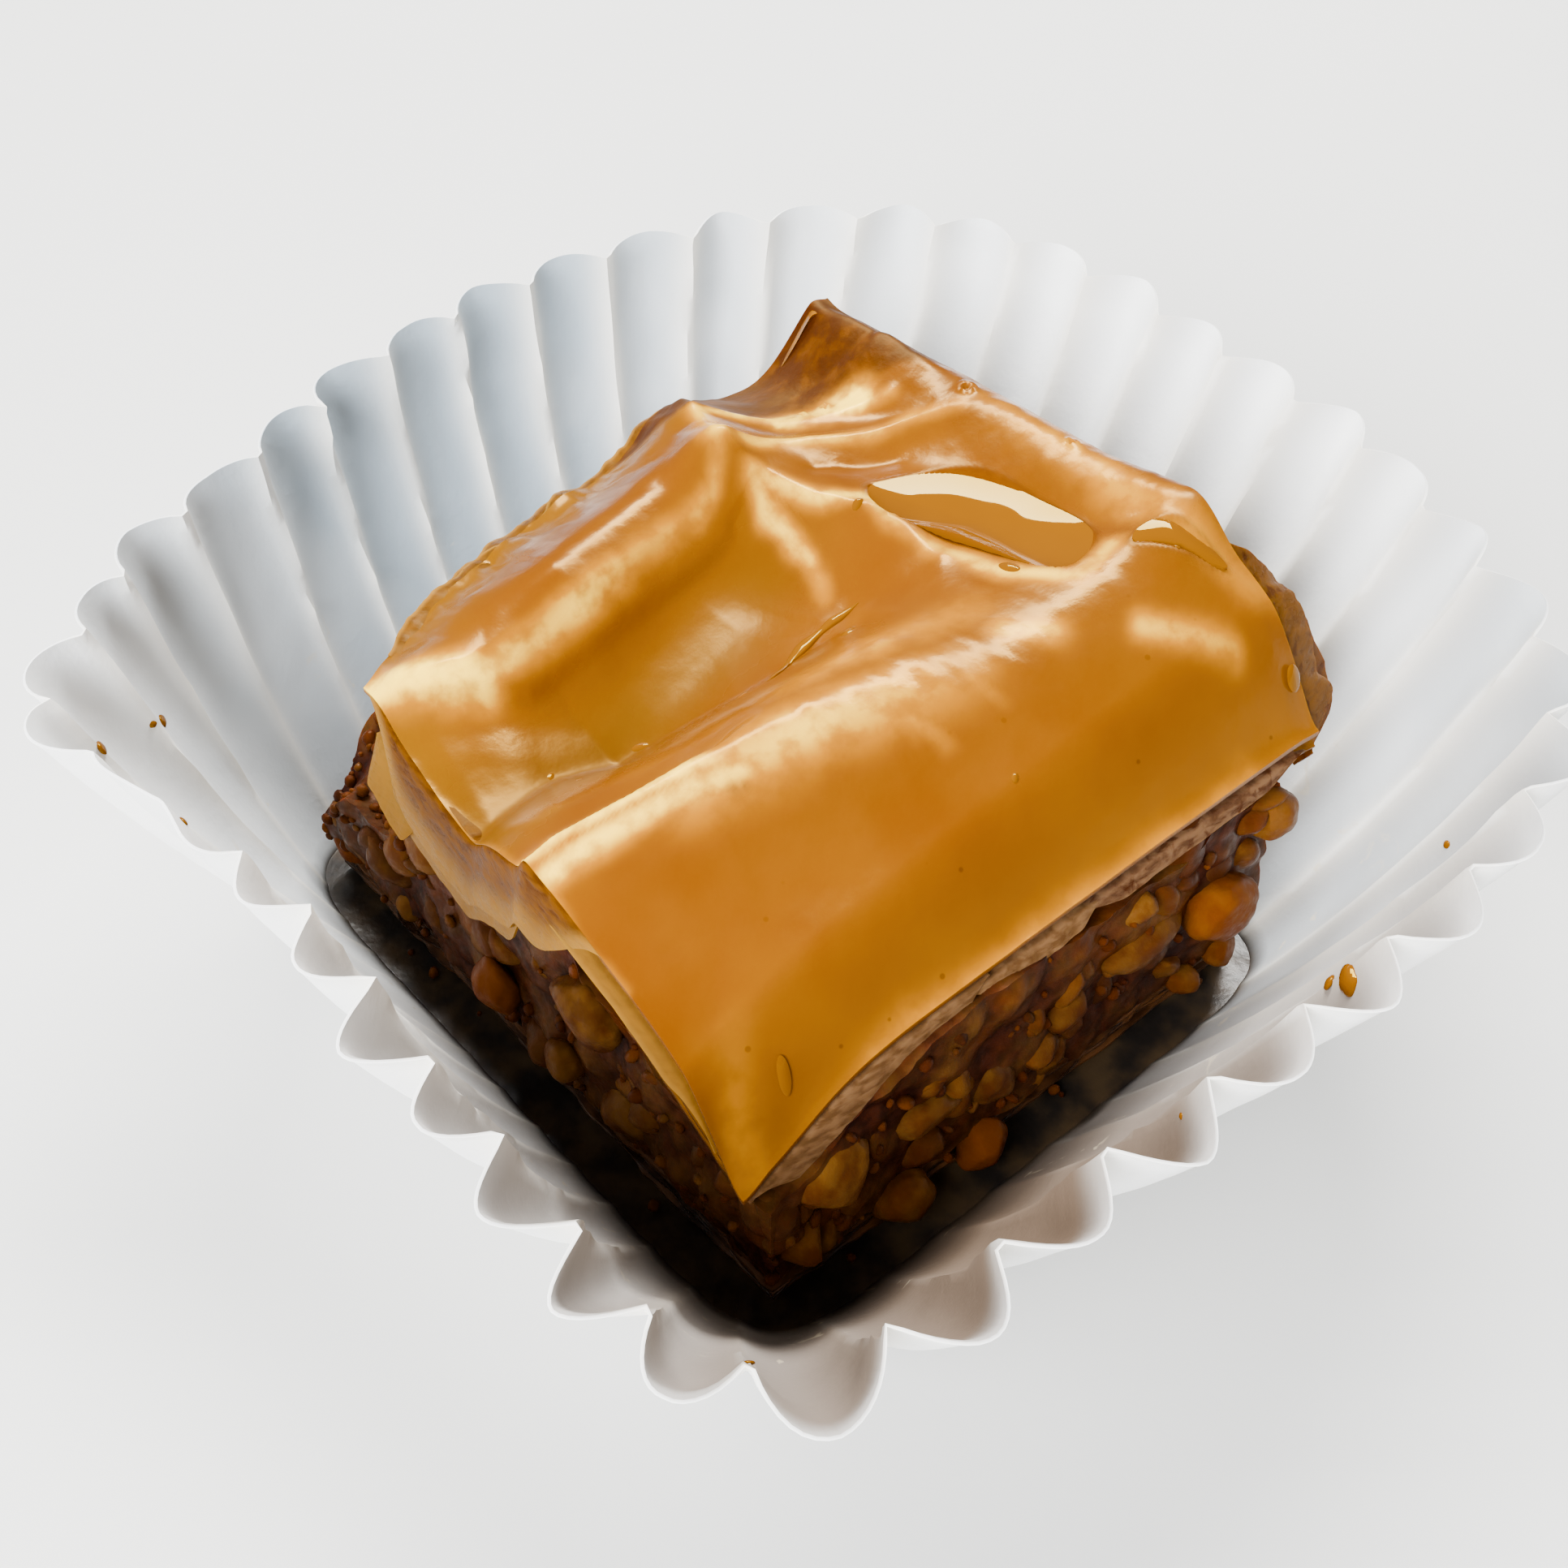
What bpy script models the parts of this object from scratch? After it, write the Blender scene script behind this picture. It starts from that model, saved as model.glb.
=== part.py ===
"""One square piece of baklava resting in a fluted white paper case.

Four solids, one body:
  paper_case     the pleated paper cup, a flat floor and a flared wall of rounded flutes
  bottom_pastry  the thin stack of soaked pastry sheets under the nuts
  nut_filling    the chopped walnut layer, which shows at all four cut sides
  top_pastry     the puffed stack of sheets on top, with its folds, hollow and drooping tip

Lengths are named in millimetres and MM turns them into metres. The food's own frame has its
origin on the case's underside, midway between the piece's corners, with +X along its front
right side, +Y along its front left side and +Z up. An empty shifts that frame sideways, so
that the origin of the whole part is under the middle of its box.
"""
import math

import bmesh
import bpy
import numpy as np
from mathutils import Vector, noise

MM = 0.001
# the gap that two touching solids keep between them
GAP = 0.3
# faces that meet at more than this angle keep a sharp edge
SHARP_ANGLE = 40.0

# ---- paper case -------------------------------------------------------------------------
PAPER_THICKNESS = 0.35
# flutes on the front right, back right, back left and front left quarters
FLUTES = (10, 10, 10, 12)
# direction of the near corner from the middle, where the first flute starts
NEAR_TURN = 225.0
STEPS_PER_FLUTE = 5
FLOOR_HALF_X = 22.0
FLOOR_HALF_Y = 24.4
FLOOR_SQUARENESS = 9.0
RIM_HEIGHT = 25.0
RIM_CENTRE_X = 3.0
RIM_HALF_X = 37.0
RIM_HALF_Y = 38.3
RIM_SQUARENESS = 2.9
# Where the rim leaves that even outline: name, direction from the middle, spread, reach.
RIM_REACHES = (
    ("near corner", 226.0, 11.2, 7.6),
    ("front left side", 181.0, 12.0, -1.6),
    ("right side", 328.0, 10.0, -1.5),
    ("back corner", 30.0, 23.0, 2.4),
    ("back side", 80.0, 12.0, 0.8),
    ("back left side", 119.0, 12.5, -3.2),
    ("pinched pleat", 151.0, 6.0, 3.6),
)
# beside the pinched pleat two flutes are pulled almost flat
FLAT_PANEL_TURN = 163.0
FLAT_PANEL_SPREAD = 8.0
FLUTE_DEPTH_FLOOR = 0.3
FLUTE_DEPTH_RIM = 1.15
FLUTE_DEPTH_NEAR = 0.5
# no two flutes are quite as deep: how much they differ, and how fast that changes round the rim
FLUTE_UNEVENNESS = 0.22
FLUTE_UNEVEN_TURN = 2.4
FLUTE_UNEVEN_START = 1.0
FLAT_PANEL_FLATNESS = 0.85
# places along each quarter of an outline that its length is measured by
OUTLINE_SAMPLES = 120
WALL_ROWS = (0.0, 0.35, 0.7, 1.0)
WALL_BOW = 0.9

# ---- bottom pastry ----------------------------------------------------------------------
BASE_HALF_X = 19.2
BASE_HALF_Y = 21.7
BASE_THICKNESS = 2.6
BASE_SHEETS = 3
BASE_SHEET_STEP = 0.35
BASE_STEPS_PER_SIDE = 14
# how far a sheet's edge wanders, over what length, and how little two sheets wander alike
BASE_WANDER = 0.4
BASE_WANDER_LENGTH = 3.3
BASE_WANDER_PER_SHEET = 1.7

# ---- food -------------------------------------------------------------------------------
# steps along each side of the filling and of the top pastry
GRID = 26
FILLING_HALF_X = 19.7
FILLING_HALF_Y = 22.2
FILLING_ROWS = 6
# the filling's left corner has crumbled to a slope: its level at the corner and its steepness
CRUMBLED_CORNER = (-20.2, 22.7)
CRUMBLED_LEVEL = 4.2
CRUMBLED_SLOPE = 1.3
# the nuts at the cut sides: distance between two, how steeply one stands out, the share of the
# distance where it starts, and how deep the hollows between them are
LUMP_SIZE = 4.6
LUMP_HEIGHT = 2.4
LUMP_REACH = 0.45
LUMP_HOLLOW = 0.7
# the top sheet's four corners in plan, and how far each side bulges past the straight line
SHEET_CORNER = {
    "near": (-20.8, -21.3),
    "right": (22.0, -22.4),
    "back": (22.2, 20.6),
    "left": (-18.0, 16.4),
}
SHEET_BULGE = {"front_right": -0.3, "back_right": 1.0, "back_left": 3.0, "front_left": 0.6}
# the sheets under the top one stand this far back from its edge
SHEET_SETBACK = 0.7
# A browned leaf of lower sheets pokes out past the top sheet beside the right corner.
LEAF_DEPTH = 1.7
LEAF_REACH = 3.4
LEAF_REACH_AT_CORNER = 1.2
LEAF_END = 0.21
LEAF_FADE = 0.04
LEAF_LEAST_RISE = 0.5
# level of the underside of the top pastry, and how far it hangs at the two left corners
UNDERSIDE = 15.9
UNDERSIDE_DROP_NEAR = 4.6
UNDERSIDE_DROP_LEFT = 5.6
UNDERSIDE_DROP_SPREAD = 7.0
UNDERSIDE_WAVE = 0.5
UNDERSIDE_WAVE_LENGTH_X = 30.0
UNDERSIDE_WAVE_LENGTH_Y = 37.0
# level of the top sheet at the middle of the piece, and how it climbs along +X
TOP_LEVEL = 21.6
TOP_CLIMB = 0.055
# Folds of the top sheet: name, half width, and the line it follows in plan with its rise there.
TOP_FOLDS = (
    ("front roll", 5.4, ((-20.5, -3.4, 1.7), (-11.0, -6.0, 3.8), (-4.0, -7.4, 4.3), (20.5, -14.0, 2.6))),
    ("left ridge", 3.3, ((-18.5, 14.5, -0.6), (-6.0, 13.0, 3.2), (5.5, 15.0, 3.4), (9.5, 20.5, 2.4))),
    ("cross wrinkle", 2.8, ((7.5, 13.0, 1.4), (12.0, 3.0, 1.6))),
    ("back plateau", 6.0, ((13.0, 10.0, 2.6), (18.0, -8.0, 2.4))),
    ("back edge roll", 3.4, ((22.0, 14.0, 4.2), (22.5, -10.0, 3.4))),
    ("raised back corner", 3.2, ((22.5, 21.5, 6.6), (20.5, 15.5, 0.8))),
    ("hollow", 4.5, ((-21.0, 3.8, 0.1), (-9.0, 4.6, -3.9), (1.5, 6.2, -1.9))),
    ("syrup dip", 2.3, ((12.2, 5.0, -1.1), (18.2, -6.2, -1.1))),
    ("small syrup dip", 1.5, ((20.2, -9.2, -0.8), (21.6, -13.4, -0.8))),
)
# the sheet turns down towards its edges: how far it drops, and over what width
EDGE_DROP = {"front_right": 3.4, "back_right": 1.0, "back_left": 0.7, "front_left": 0.6}
EDGE_WIDTH = {"front_right": 5.5, "back_right": 1.6, "back_left": 3.6, "front_left": 2.0}
TIP_DROP = 3.7
TIP_SPREAD = 4.6
LEFT_CORNER_DROP = 0.6
LEFT_CORNER_SPREAD = 5.0

COLOURS = {
    "paper_case": ((0.80, 0.80, 0.78), 0.55),
    "bottom_pastry": ((0.30, 0.13, 0.03), 0.35),
    "nut_filling": ((0.26, 0.11, 0.035), 0.45),
    "top_pastry": ((0.72, 0.30, 0.035), 0.18),
}


# ---- small helpers ----------------------------------------------------------------------
def clear_scene():
    for obj in list(bpy.data.objects):
        bpy.data.objects.remove(obj)


def smooth_step(x):
    x = min(max(x, 0.0), 1.0)
    return x * x * (3.0 - 2.0 * x)


def turn_between(angle, other):
    """Difference of two directions in degrees, between -180 and 180."""
    return (angle - other + 180.0) % 360.0 - 180.0


def bell(distance, half_width):
    """1 at no distance, half at the half width, and almost nothing at twice that."""
    return 0.5 ** ((distance / half_width) ** 2)


def nearest_on_line(point, line):
    """Distance in plan from a point to a line of (x, y, value) places, and the value nearest."""
    best = (math.inf, 0.0)
    for (ax, ay, value), (bx, by, next_value) in zip(line, line[1:]):
        length_squared = (bx - ax) ** 2 + (by - ay) ** 2
        along = ((point[0] - ax) * (bx - ax) + (point[1] - ay) * (by - ay)) / length_squared
        along = min(max(along, 0.0), 1.0)
        nearest = (ax + along * (bx - ax), ay + along * (by - ay))
        distance = math.dist(point, nearest)
        if distance < best[0]:
            best = (distance, value + (next_value - value) * along)
    return best


def make_material(name):
    colour, roughness = COLOURS[name]
    material = bpy.data.materials.new(name)
    material.use_nodes = True
    shader = material.node_tree.nodes["Principled BSDF"]
    shader.inputs["Base Color"].default_value = (*colour, 1.0)
    shader.inputs["Roughness"].default_value = roughness
    shader.inputs["Metallic"].default_value = 0.0
    return material


def make_object(name, bm, parent):
    """Turn a millimetre bmesh into a named object in metres, faces out, shaded smooth."""
    bmesh.ops.recalc_face_normals(bm, faces=bm.faces[:])
    bmesh.ops.scale(bm, vec=(MM, MM, MM), verts=bm.verts[:])
    mesh = bpy.data.meshes.new(name)
    bm.to_mesh(mesh)
    bm.free()
    mesh.shade_smooth()
    mesh.set_sharp_from_angle(angle=math.radians(SHARP_ANGLE))
    mesh.materials.append(make_material(name))
    obj = bpy.data.objects.new(name, mesh)
    bpy.context.scene.collection.objects.link(obj)
    obj.parent = parent
    return obj


def wall_faces(bm, lower, upper):
    """Faces between two closed rings with the same number of vertices."""
    for i in range(len(lower)):
        after = (i + 1) % len(lower)
        bm.faces.new((lower[i], lower[after], upper[after], upper[i]))


# ---- paper case -------------------------------------------------------------------------
def rounded_square_reach(turn, half_x, half_y, squareness):
    """Distance from the middle to a superellipse in a direction given in degrees."""
    across = abs(math.cos(math.radians(turn))) / half_x
    along = abs(math.sin(math.radians(turn))) / half_y
    return (across ** squareness + along ** squareness) ** (-1.0 / squareness)


def floor_point(turn):
    reach = rounded_square_reach(turn, FLOOR_HALF_X, FLOOR_HALF_Y, FLOOR_SQUARENESS)
    return Vector((reach * math.cos(math.radians(turn)), reach * math.sin(math.radians(turn)), 0.0))


def rim_point(turn):
    reach = rounded_square_reach(turn, RIM_HALF_X, RIM_HALF_Y, RIM_SQUARENESS)
    for _, middle, spread, extra in RIM_REACHES:
        reach += extra * bell(turn_between(turn, middle), spread)
    x = RIM_CENTRE_X + reach * math.cos(math.radians(turn))
    return Vector((x, reach * math.sin(math.radians(turn)), RIM_HEIGHT))


def evenly_spaced(point_at):
    """Points that cut each quarter of an outline, corner to corner, into equal lengths."""
    points = []
    for quarter, flutes in enumerate(FLUTES):
        per_quarter = flutes * STEPS_PER_FLUTE
        shares = [i / OUTLINE_SAMPLES for i in range(OUTLINE_SAMPLES + 1)]
        turns = [NEAR_TURN + 90.0 * (quarter + share) for share in shares]
        places = [point_at(turn) for turn in turns]
        lengths = [0.0]
        for before, after in zip(places, places[1:]):
            lengths.append(lengths[-1] + (after - before).length)
        wanted = [lengths[-1] * i / per_quarter for i in range(per_quarter)]
        points += [point_at(turn) for turn in np.interp(wanted, lengths, turns)]
    return points


def outward_normals(points):
    """Level unit normals of a closed loop of points that runs anticlockwise."""
    count = len(points)
    normals = []
    for i in range(count):
        along = points[(i + 2) % count] - points[i - 2]
        normals.append(Vector((along.y, -along.x, 0.0)).normalized())
    return normals


def flute_wave(step):
    """Rounded outward lobe between two sharp inward folds: 1 on the lobe, -1 on the fold."""
    phase = math.pi * step / STEPS_PER_FLUTE
    return 2.0 * abs(math.sin(phase)) - 1.0


def flute_depth(step, place, height):
    """Half depth of the flutes: deeper at the rim, deepest towards the near corner, and almost
    nothing on the flat panel."""
    turn = math.degrees(math.atan2(place.y, place.x - RIM_CENTRE_X))
    nearness = max(math.cos(math.radians(turn - NEAR_TURN)), 0.0) ** 2
    flute = step // STEPS_PER_FLUTE
    uneven = 1.0 + FLUTE_UNEVENNESS * math.sin(FLUTE_UNEVEN_TURN * flute + FLUTE_UNEVEN_START)
    rim = (FLUTE_DEPTH_RIM + FLUTE_DEPTH_NEAR * nearness) * uneven
    flatness = bell(turn_between(turn, FLAT_PANEL_TURN), FLAT_PANEL_SPREAD)
    depth = FLUTE_DEPTH_FLOOR + (rim - FLUTE_DEPTH_FLOOR) * height
    return depth * (1.0 - FLAT_PANEL_FLATNESS * flatness)


def build_paper_case(parent):
    floor = evenly_spaced(floor_point)
    rim = evenly_spaced(rim_point)
    count = len(rim)
    floor_out = outward_normals(floor)
    rim_out = outward_normals(rim)
    bm = bmesh.new()
    rows = []
    for height in WALL_ROWS:
        row = []
        for step in range(count):
            outward = floor_out[step].lerp(rim_out[step], height).normalized()
            offset = flute_depth(step, rim[step], height) * flute_wave(step)
            offset += WALL_BOW * 4.0 * height * (1.0 - height)
            row.append(bm.verts.new(floor[step].lerp(rim[step], height) + outward * offset))
        rows.append(row)
    bm.faces.new(rows[0])
    for lower, upper in zip(rows, rows[1:]):
        wall_faces(bm, lower, upper)
    case = make_object("paper_case", bm, parent)
    paper = case.modifiers.new("paper thickness", "SOLIDIFY")
    paper.thickness = PAPER_THICKNESS * MM
    paper.offset = -1.0
    paper.use_even_offset = True
    return case


# ---- bottom pastry ----------------------------------------------------------------------
def loop_around(half_x, half_y, steps_per_side):
    """Points round a rectangle from its near corner, anticlockwise."""
    corners = [(-half_x, -half_y), (half_x, -half_y), (half_x, half_y), (-half_x, half_y)]
    loop = []
    for side in range(4):
        start = Vector(corners[side])
        end = Vector(corners[(side + 1) % 4])
        loop += [start.lerp(end, i / steps_per_side) for i in range(steps_per_side)]
    return loop


def build_bottom_pastry(parent):
    """A few thick soaked sheets, each set a little further in or out than the next."""
    bottom = PAPER_THICKNESS + GAP
    loop = loop_around(BASE_HALF_X, BASE_HALF_Y, BASE_STEPS_PER_SIDE)
    bm = bmesh.new()
    rows = []
    for level in range(BASE_SHEETS + 1):
        z = bottom + BASE_THICKNESS * level / BASE_SHEETS
        inset = BASE_SHEET_STEP * (level % 2)
        row = []
        for place in loop:
            noise_place = (*(place / BASE_WANDER_LENGTH), level * BASE_WANDER_PER_SHEET)
            wander = BASE_WANDER * noise.noise(Vector(noise_place))
            shrink = 1.0 - (inset + wander) / BASE_HALF_X
            row.append(bm.verts.new((place.x * shrink, place.y * shrink, z)))
        rows.append(row)
    bm.faces.new(rows[0])
    bm.faces.new(rows[-1])
    for lower, upper in zip(rows, rows[1:]):
        wall_faces(bm, lower, upper)
    return make_object("bottom_pastry", bm, parent)


# ---- shapes shared by the filling and the top pastry --------------------------------------
def sheet_plan(u, v, setback=0.0):
    """Place in plan on the top sheet: u runs from the near corner to the right one, v to the
    left one. The setback pulls the outline in from the sheet's edge."""
    near = Vector(SHEET_CORNER["near"])
    right = Vector(SHEET_CORNER["right"])
    back = Vector(SHEET_CORNER["back"])
    left = Vector(SHEET_CORNER["left"])
    place = near.lerp(right, u).lerp(left.lerp(back, u), v)
    across = 4.0 * u * (1.0 - u)
    along = 4.0 * v * (1.0 - v)
    place.y -= SHEET_BULGE["front_right"] * across * (1.0 - v)
    place.y += SHEET_BULGE["back_left"] * across * v
    place.x -= SHEET_BULGE["front_left"] * along * (1.0 - u)
    place.x += SHEET_BULGE["back_right"] * along * u
    place.x -= setback * (2.0 * u - 1.0)
    place.y -= setback * (2.0 * v - 1.0)
    return place


def underside(x, y):
    """Height of the underside of the top pastry, which hangs at the near and left corners."""
    near = Vector(SHEET_CORNER["near"])
    left = Vector(SHEET_CORNER["left"])
    across = math.sin(math.tau * x / UNDERSIDE_WAVE_LENGTH_X)
    along = math.cos(math.tau * y / UNDERSIDE_WAVE_LENGTH_Y)
    height = UNDERSIDE + UNDERSIDE_WAVE * across * along
    height -= UNDERSIDE_DROP_NEAR * bell(math.dist((x, y), near), UNDERSIDE_DROP_SPREAD)
    height -= UNDERSIDE_DROP_LEFT * bell(math.dist((x, y), left), UNDERSIDE_DROP_SPREAD)
    return height


def top_height(x, y, u, v):
    """Height of the top sheet: a climbing level, its folds and hollows, and its edges."""
    height = TOP_LEVEL + TOP_CLIMB * x
    for _, half_width, line in TOP_FOLDS:
        distance, rise = nearest_on_line((x, y), line)
        height += rise * bell(distance, half_width)
    width = math.dist(SHEET_CORNER["near"], SHEET_CORNER["right"])
    depth = math.dist(SHEET_CORNER["right"], SHEET_CORNER["back"])
    inward = {
        "front_right": v * depth,
        "back_right": (1.0 - u) * width,
        "back_left": (1.0 - v) * depth,
        "front_left": u * width,
    }
    for side, distance in inward.items():
        height -= EDGE_DROP[side] * (1.0 - smooth_step(distance / EDGE_WIDTH[side]))
    near = SHEET_CORNER["near"]
    left = SHEET_CORNER["left"]
    height -= TIP_DROP * bell(math.dist((x, y), near), TIP_SPREAD)
    height -= LEFT_CORNER_DROP * bell(math.dist((x, y), left), LEFT_CORNER_SPREAD)
    return height


def grid_border(n):
    """Grid indices round the border of an n by n grid, anticlockwise from the near corner."""
    border = [(i, 0) for i in range(n)]
    border += [(n, j) for j in range(n)]
    border += [(i, n) for i in range(n, 0, -1)]
    border += [(0, j) for j in range(n, 0, -1)]
    return border


def outward_at(i, j, n):
    """Direction out of an n by n grid at a place on its border, slanting at its corners."""
    return Vector(((i == n) - (i == 0), (j == n) - (j == 0), 0.0))


def grid_faces(bm, verts, n):
    for i in range(n):
        for j in range(n):
            bm.faces.new((verts[i, j], verts[i + 1, j], verts[i + 1, j + 1], verts[i, j + 1]))


def leaf_reach(u, v):
    """How far the browned leaf stands out past the top sheet, along its right-hand side."""
    if u < 1.0 or v > LEAF_END + LEAF_FADE:
        return 0.0
    reach = LEAF_REACH_AT_CORNER + (LEAF_REACH - LEAF_REACH_AT_CORNER) * min(v / LEAF_END, 1.0)
    return reach * (1.0 - smooth_step((v - LEAF_END) / LEAF_FADE))


def build_top_pastry(parent):
    bm = bmesh.new()
    top = {}
    bottom = {}
    for i in range(GRID + 1):
        for j in range(GRID + 1):
            u, v = i / GRID, j / GRID
            place = sheet_plan(u, v)
            low_place = sheet_plan(u, v, SHEET_SETBACK)
            top[i, j] = bm.verts.new((*place, top_height(*place, u, v)))
            bottom[i, j] = bm.verts.new((*low_place, underside(*low_place)))
    grid_faces(bm, top, GRID)
    grid_faces(bm, bottom, GRID)
    border = grid_border(GRID)
    leaf = []
    for i, j in border:
        u, v = i / GRID, j / GRID
        place = sheet_plan(u, v)
        z = max(top_height(*place, u, v) - LEAF_DEPTH, underside(*place) + LEAF_LEAST_RISE)
        reach = leaf_reach(u, v)
        if reach > 0.0:
            place = place + Vector((reach, 0.0))
        else:
            place = sheet_plan(u, v, SHEET_SETBACK)
        leaf.append(bm.verts.new((*place, z)))
    wall_faces(bm, [bottom[key] for key in border], leaf)
    wall_faces(bm, leaf, [top[key] for key in border])
    return make_object("top_pastry", bm, parent)


# ---- nut filling ------------------------------------------------------------------------
def lump(place):
    """How far a chopped nut stands out of the cut side at a place."""
    distances, _ = noise.voronoi(place / LUMP_SIZE)
    return max(LUMP_HEIGHT * (LUMP_REACH - distances[0]), -LUMP_HOLLOW)


def filling_height(x, y):
    """Top of the filling: just under the top pastry, and sloping down at the crumbled corner."""
    slope = CRUMBLED_LEVEL + CRUMBLED_SLOPE * math.dist((x, y), CRUMBLED_CORNER)
    return min(underside(x, y) - GAP, slope)


def build_nut_filling(parent):
    bottom_z = PAPER_THICKNESS + BASE_THICKNESS + 2 * GAP
    bm = bmesh.new()
    top = {}
    for i in range(GRID + 1):
        for j in range(GRID + 1):
            x = FILLING_HALF_X * (2.0 * i / GRID - 1.0)
            y = FILLING_HALF_Y * (2.0 * j / GRID - 1.0)
            top[i, j] = bm.verts.new((x, y, filling_height(x, y)))
    grid_faces(bm, top, GRID)
    border = grid_border(GRID)
    upper = [top[key] for key in border]
    below = []
    for row in range(FILLING_ROWS):
        ring = []
        for vert, (i, j) in zip(upper, border):
            place = vert.co.copy()
            place.z = bottom_z + (vert.co.z - bottom_z) * row / FILLING_ROWS
            ring.append(bm.verts.new(place + outward_at(i, j, GRID) * lump(place)))
        below.append(ring)
    bm.faces.new(below[0])
    for lower, higher in zip(below, below[1:] + [upper]):
        wall_faces(bm, lower, higher)
    return make_object("nut_filling", bm, parent)


def main():
    clear_scene()
    frame = bpy.data.objects.new("food_frame", None)
    bpy.context.scene.collection.objects.link(frame)
    case = build_paper_case(frame)
    build_bottom_pastry(frame)
    build_nut_filling(frame)
    build_top_pastry(frame)
    xs = [corner[0] for corner in case.bound_box]
    ys = [corner[1] for corner in case.bound_box]
    frame.location = (-(min(xs) + max(xs)) / 2, -(min(ys) + max(ys)) / 2, 0.0)


main()
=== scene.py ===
"""Looks of one square piece of baklava in its fluted white paper case.

Lengths are in millimetres in the food's own frame, as in the part's source: the origin is on
the case's underside, midway between the piece's corners, +X runs along its front right side,
+Y along its front left side and +Z up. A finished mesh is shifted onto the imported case.
"""
import math

import bmesh
import bpy
import numpy as np
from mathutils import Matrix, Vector


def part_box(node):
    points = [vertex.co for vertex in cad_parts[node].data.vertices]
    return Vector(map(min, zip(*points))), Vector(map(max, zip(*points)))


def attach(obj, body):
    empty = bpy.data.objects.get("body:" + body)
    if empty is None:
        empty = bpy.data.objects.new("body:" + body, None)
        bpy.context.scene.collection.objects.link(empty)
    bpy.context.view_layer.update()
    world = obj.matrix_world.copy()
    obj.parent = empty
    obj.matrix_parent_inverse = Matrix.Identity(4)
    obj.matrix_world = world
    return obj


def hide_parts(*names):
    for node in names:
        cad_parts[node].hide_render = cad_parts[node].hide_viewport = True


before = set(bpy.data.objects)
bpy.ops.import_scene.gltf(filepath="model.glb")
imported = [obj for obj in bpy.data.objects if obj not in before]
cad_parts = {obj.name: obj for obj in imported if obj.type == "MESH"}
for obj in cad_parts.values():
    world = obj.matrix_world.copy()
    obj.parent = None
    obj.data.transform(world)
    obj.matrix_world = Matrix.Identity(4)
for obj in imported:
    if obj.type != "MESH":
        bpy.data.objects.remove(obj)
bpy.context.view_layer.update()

MM = 0.001

# ---- camera and light -------------------------------------------------------------------
CAMERA_PLACE = (-56.77, -65.83, 100.42)
CAMERA_AIM = (7.97, 8.64, 0.0)
FIELD_OF_VIEW_LENS = 46.58
SENSOR = 36.0

# ---- paper case, as in the part's source --------------------------------------------------
FLUTES = (10, 10, 10, 12)
NEAR_TURN = 225.0
FLOOR_HALF = (22.0, 24.4)
FLOOR_SQUARENESS = 9.0
RIM_HEIGHT = 25.0
RIM_CENTRE_X = 3.0
RIM_HALF = (37.0, 38.3)
RIM_SQUARENESS = 2.9
RIM_REACHES = (
    ("near corner", 226.0, 11.2, 7.6),
    ("front left side", 181.0, 12.0, -1.6),
    ("right side", 328.0, 10.0, -1.5),
    ("back corner", 30.0, 23.0, 2.4),
    ("back side", 80.0, 12.0, 0.8),
    ("back left side", 119.0, 12.5, -3.2),
    ("pinched pleat", 151.0, 6.0, 3.6),
)
FLAT_PANEL_TURN = 163.0
FLAT_PANEL_SPREAD = 8.0
FLAT_PANEL_FLATNESS = 0.85
FLUTE_DEPTH_RIM = 1.15
FLUTE_DEPTH_NEAR = 0.5
FLUTE_UNEVENNESS = 0.22
FLUTE_UNEVEN_TURN = 2.4
FLUTE_UNEVEN_START = 1.0
OUTLINE_SAMPLES = 120
WALL_BOW = 0.9

# the finer paper that stands for the solid one
STEPS_PER_FLUTE = 16
WALL_ROWS = 36
FLOOR_RINGS = 8
PAPER_THICKNESS = 0.16
CRINKLE = 0.07
CRINKLE_SIZE = 4.0
CRINKLE_START = 0.25
# flutes of the back left wall are flatter, with narrow ridges between them
FLAT_LOBE_TURN = 120.0
FLAT_LOBE_SPREAD = 38.0
FLAT_LOBE_POWER = 0.45
FOLD_WANDER = 0.1
FOLD_WANDER_SIZE = 6.0
RIM_UNEVENNESS = 0.35
RIM_UNEVEN_SIZE = 5.0
FLOOR_UNEVENNESS = 0.8
FLOOR_UNEVEN_SIZE = 3.0
# how far each way, in flutes, the wall's outward direction is taken
OUTWARD_REACH = 0.4
# the fine paper's flutes are nearly pressed flat where the wall starts
CREASE_DEPTH = 0.06
DEPTH_GROWTH = 1.25
# Inside, the wall has a painted warm shade round the near corner that fades towards its rim,
# and a painted cool shade at the back left and near the right corner.
WARM_SHADE_TURN = 245.0
WARM_SHADE_SPREAD = 48.0
WARM_SHADE_HEIGHT = (20.5, 29.5)
COOL_TURN = 95.0
COOL_SPREAD = 38.0
COOL_FRONT_TURN = 308.0
COOL_FRONT_SPREAD = 18.0
COOL_FRONT = 0.6
# away from the back left wall each flute has painted shade beside its fold, on one side
LIGHT_FOLDS_SPREAD = 62.0
FLUTE_SHADE_START = 0.38
FLUTE_SHADE_POWER = 2.0
# syrup has soaked the floor, up to an uneven line on the wall
SOAK_LEVEL = 0.35
SOAK_UNEVENNESS = 0.3
SOAK_PATCH = 3.5
SOAK_FADE = 0.7
# stains fade out above this level
STAIN_LEVEL = 4.0
STAIN_FADE = 14.0
STAIN_OUTSIDE = 0.3

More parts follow.
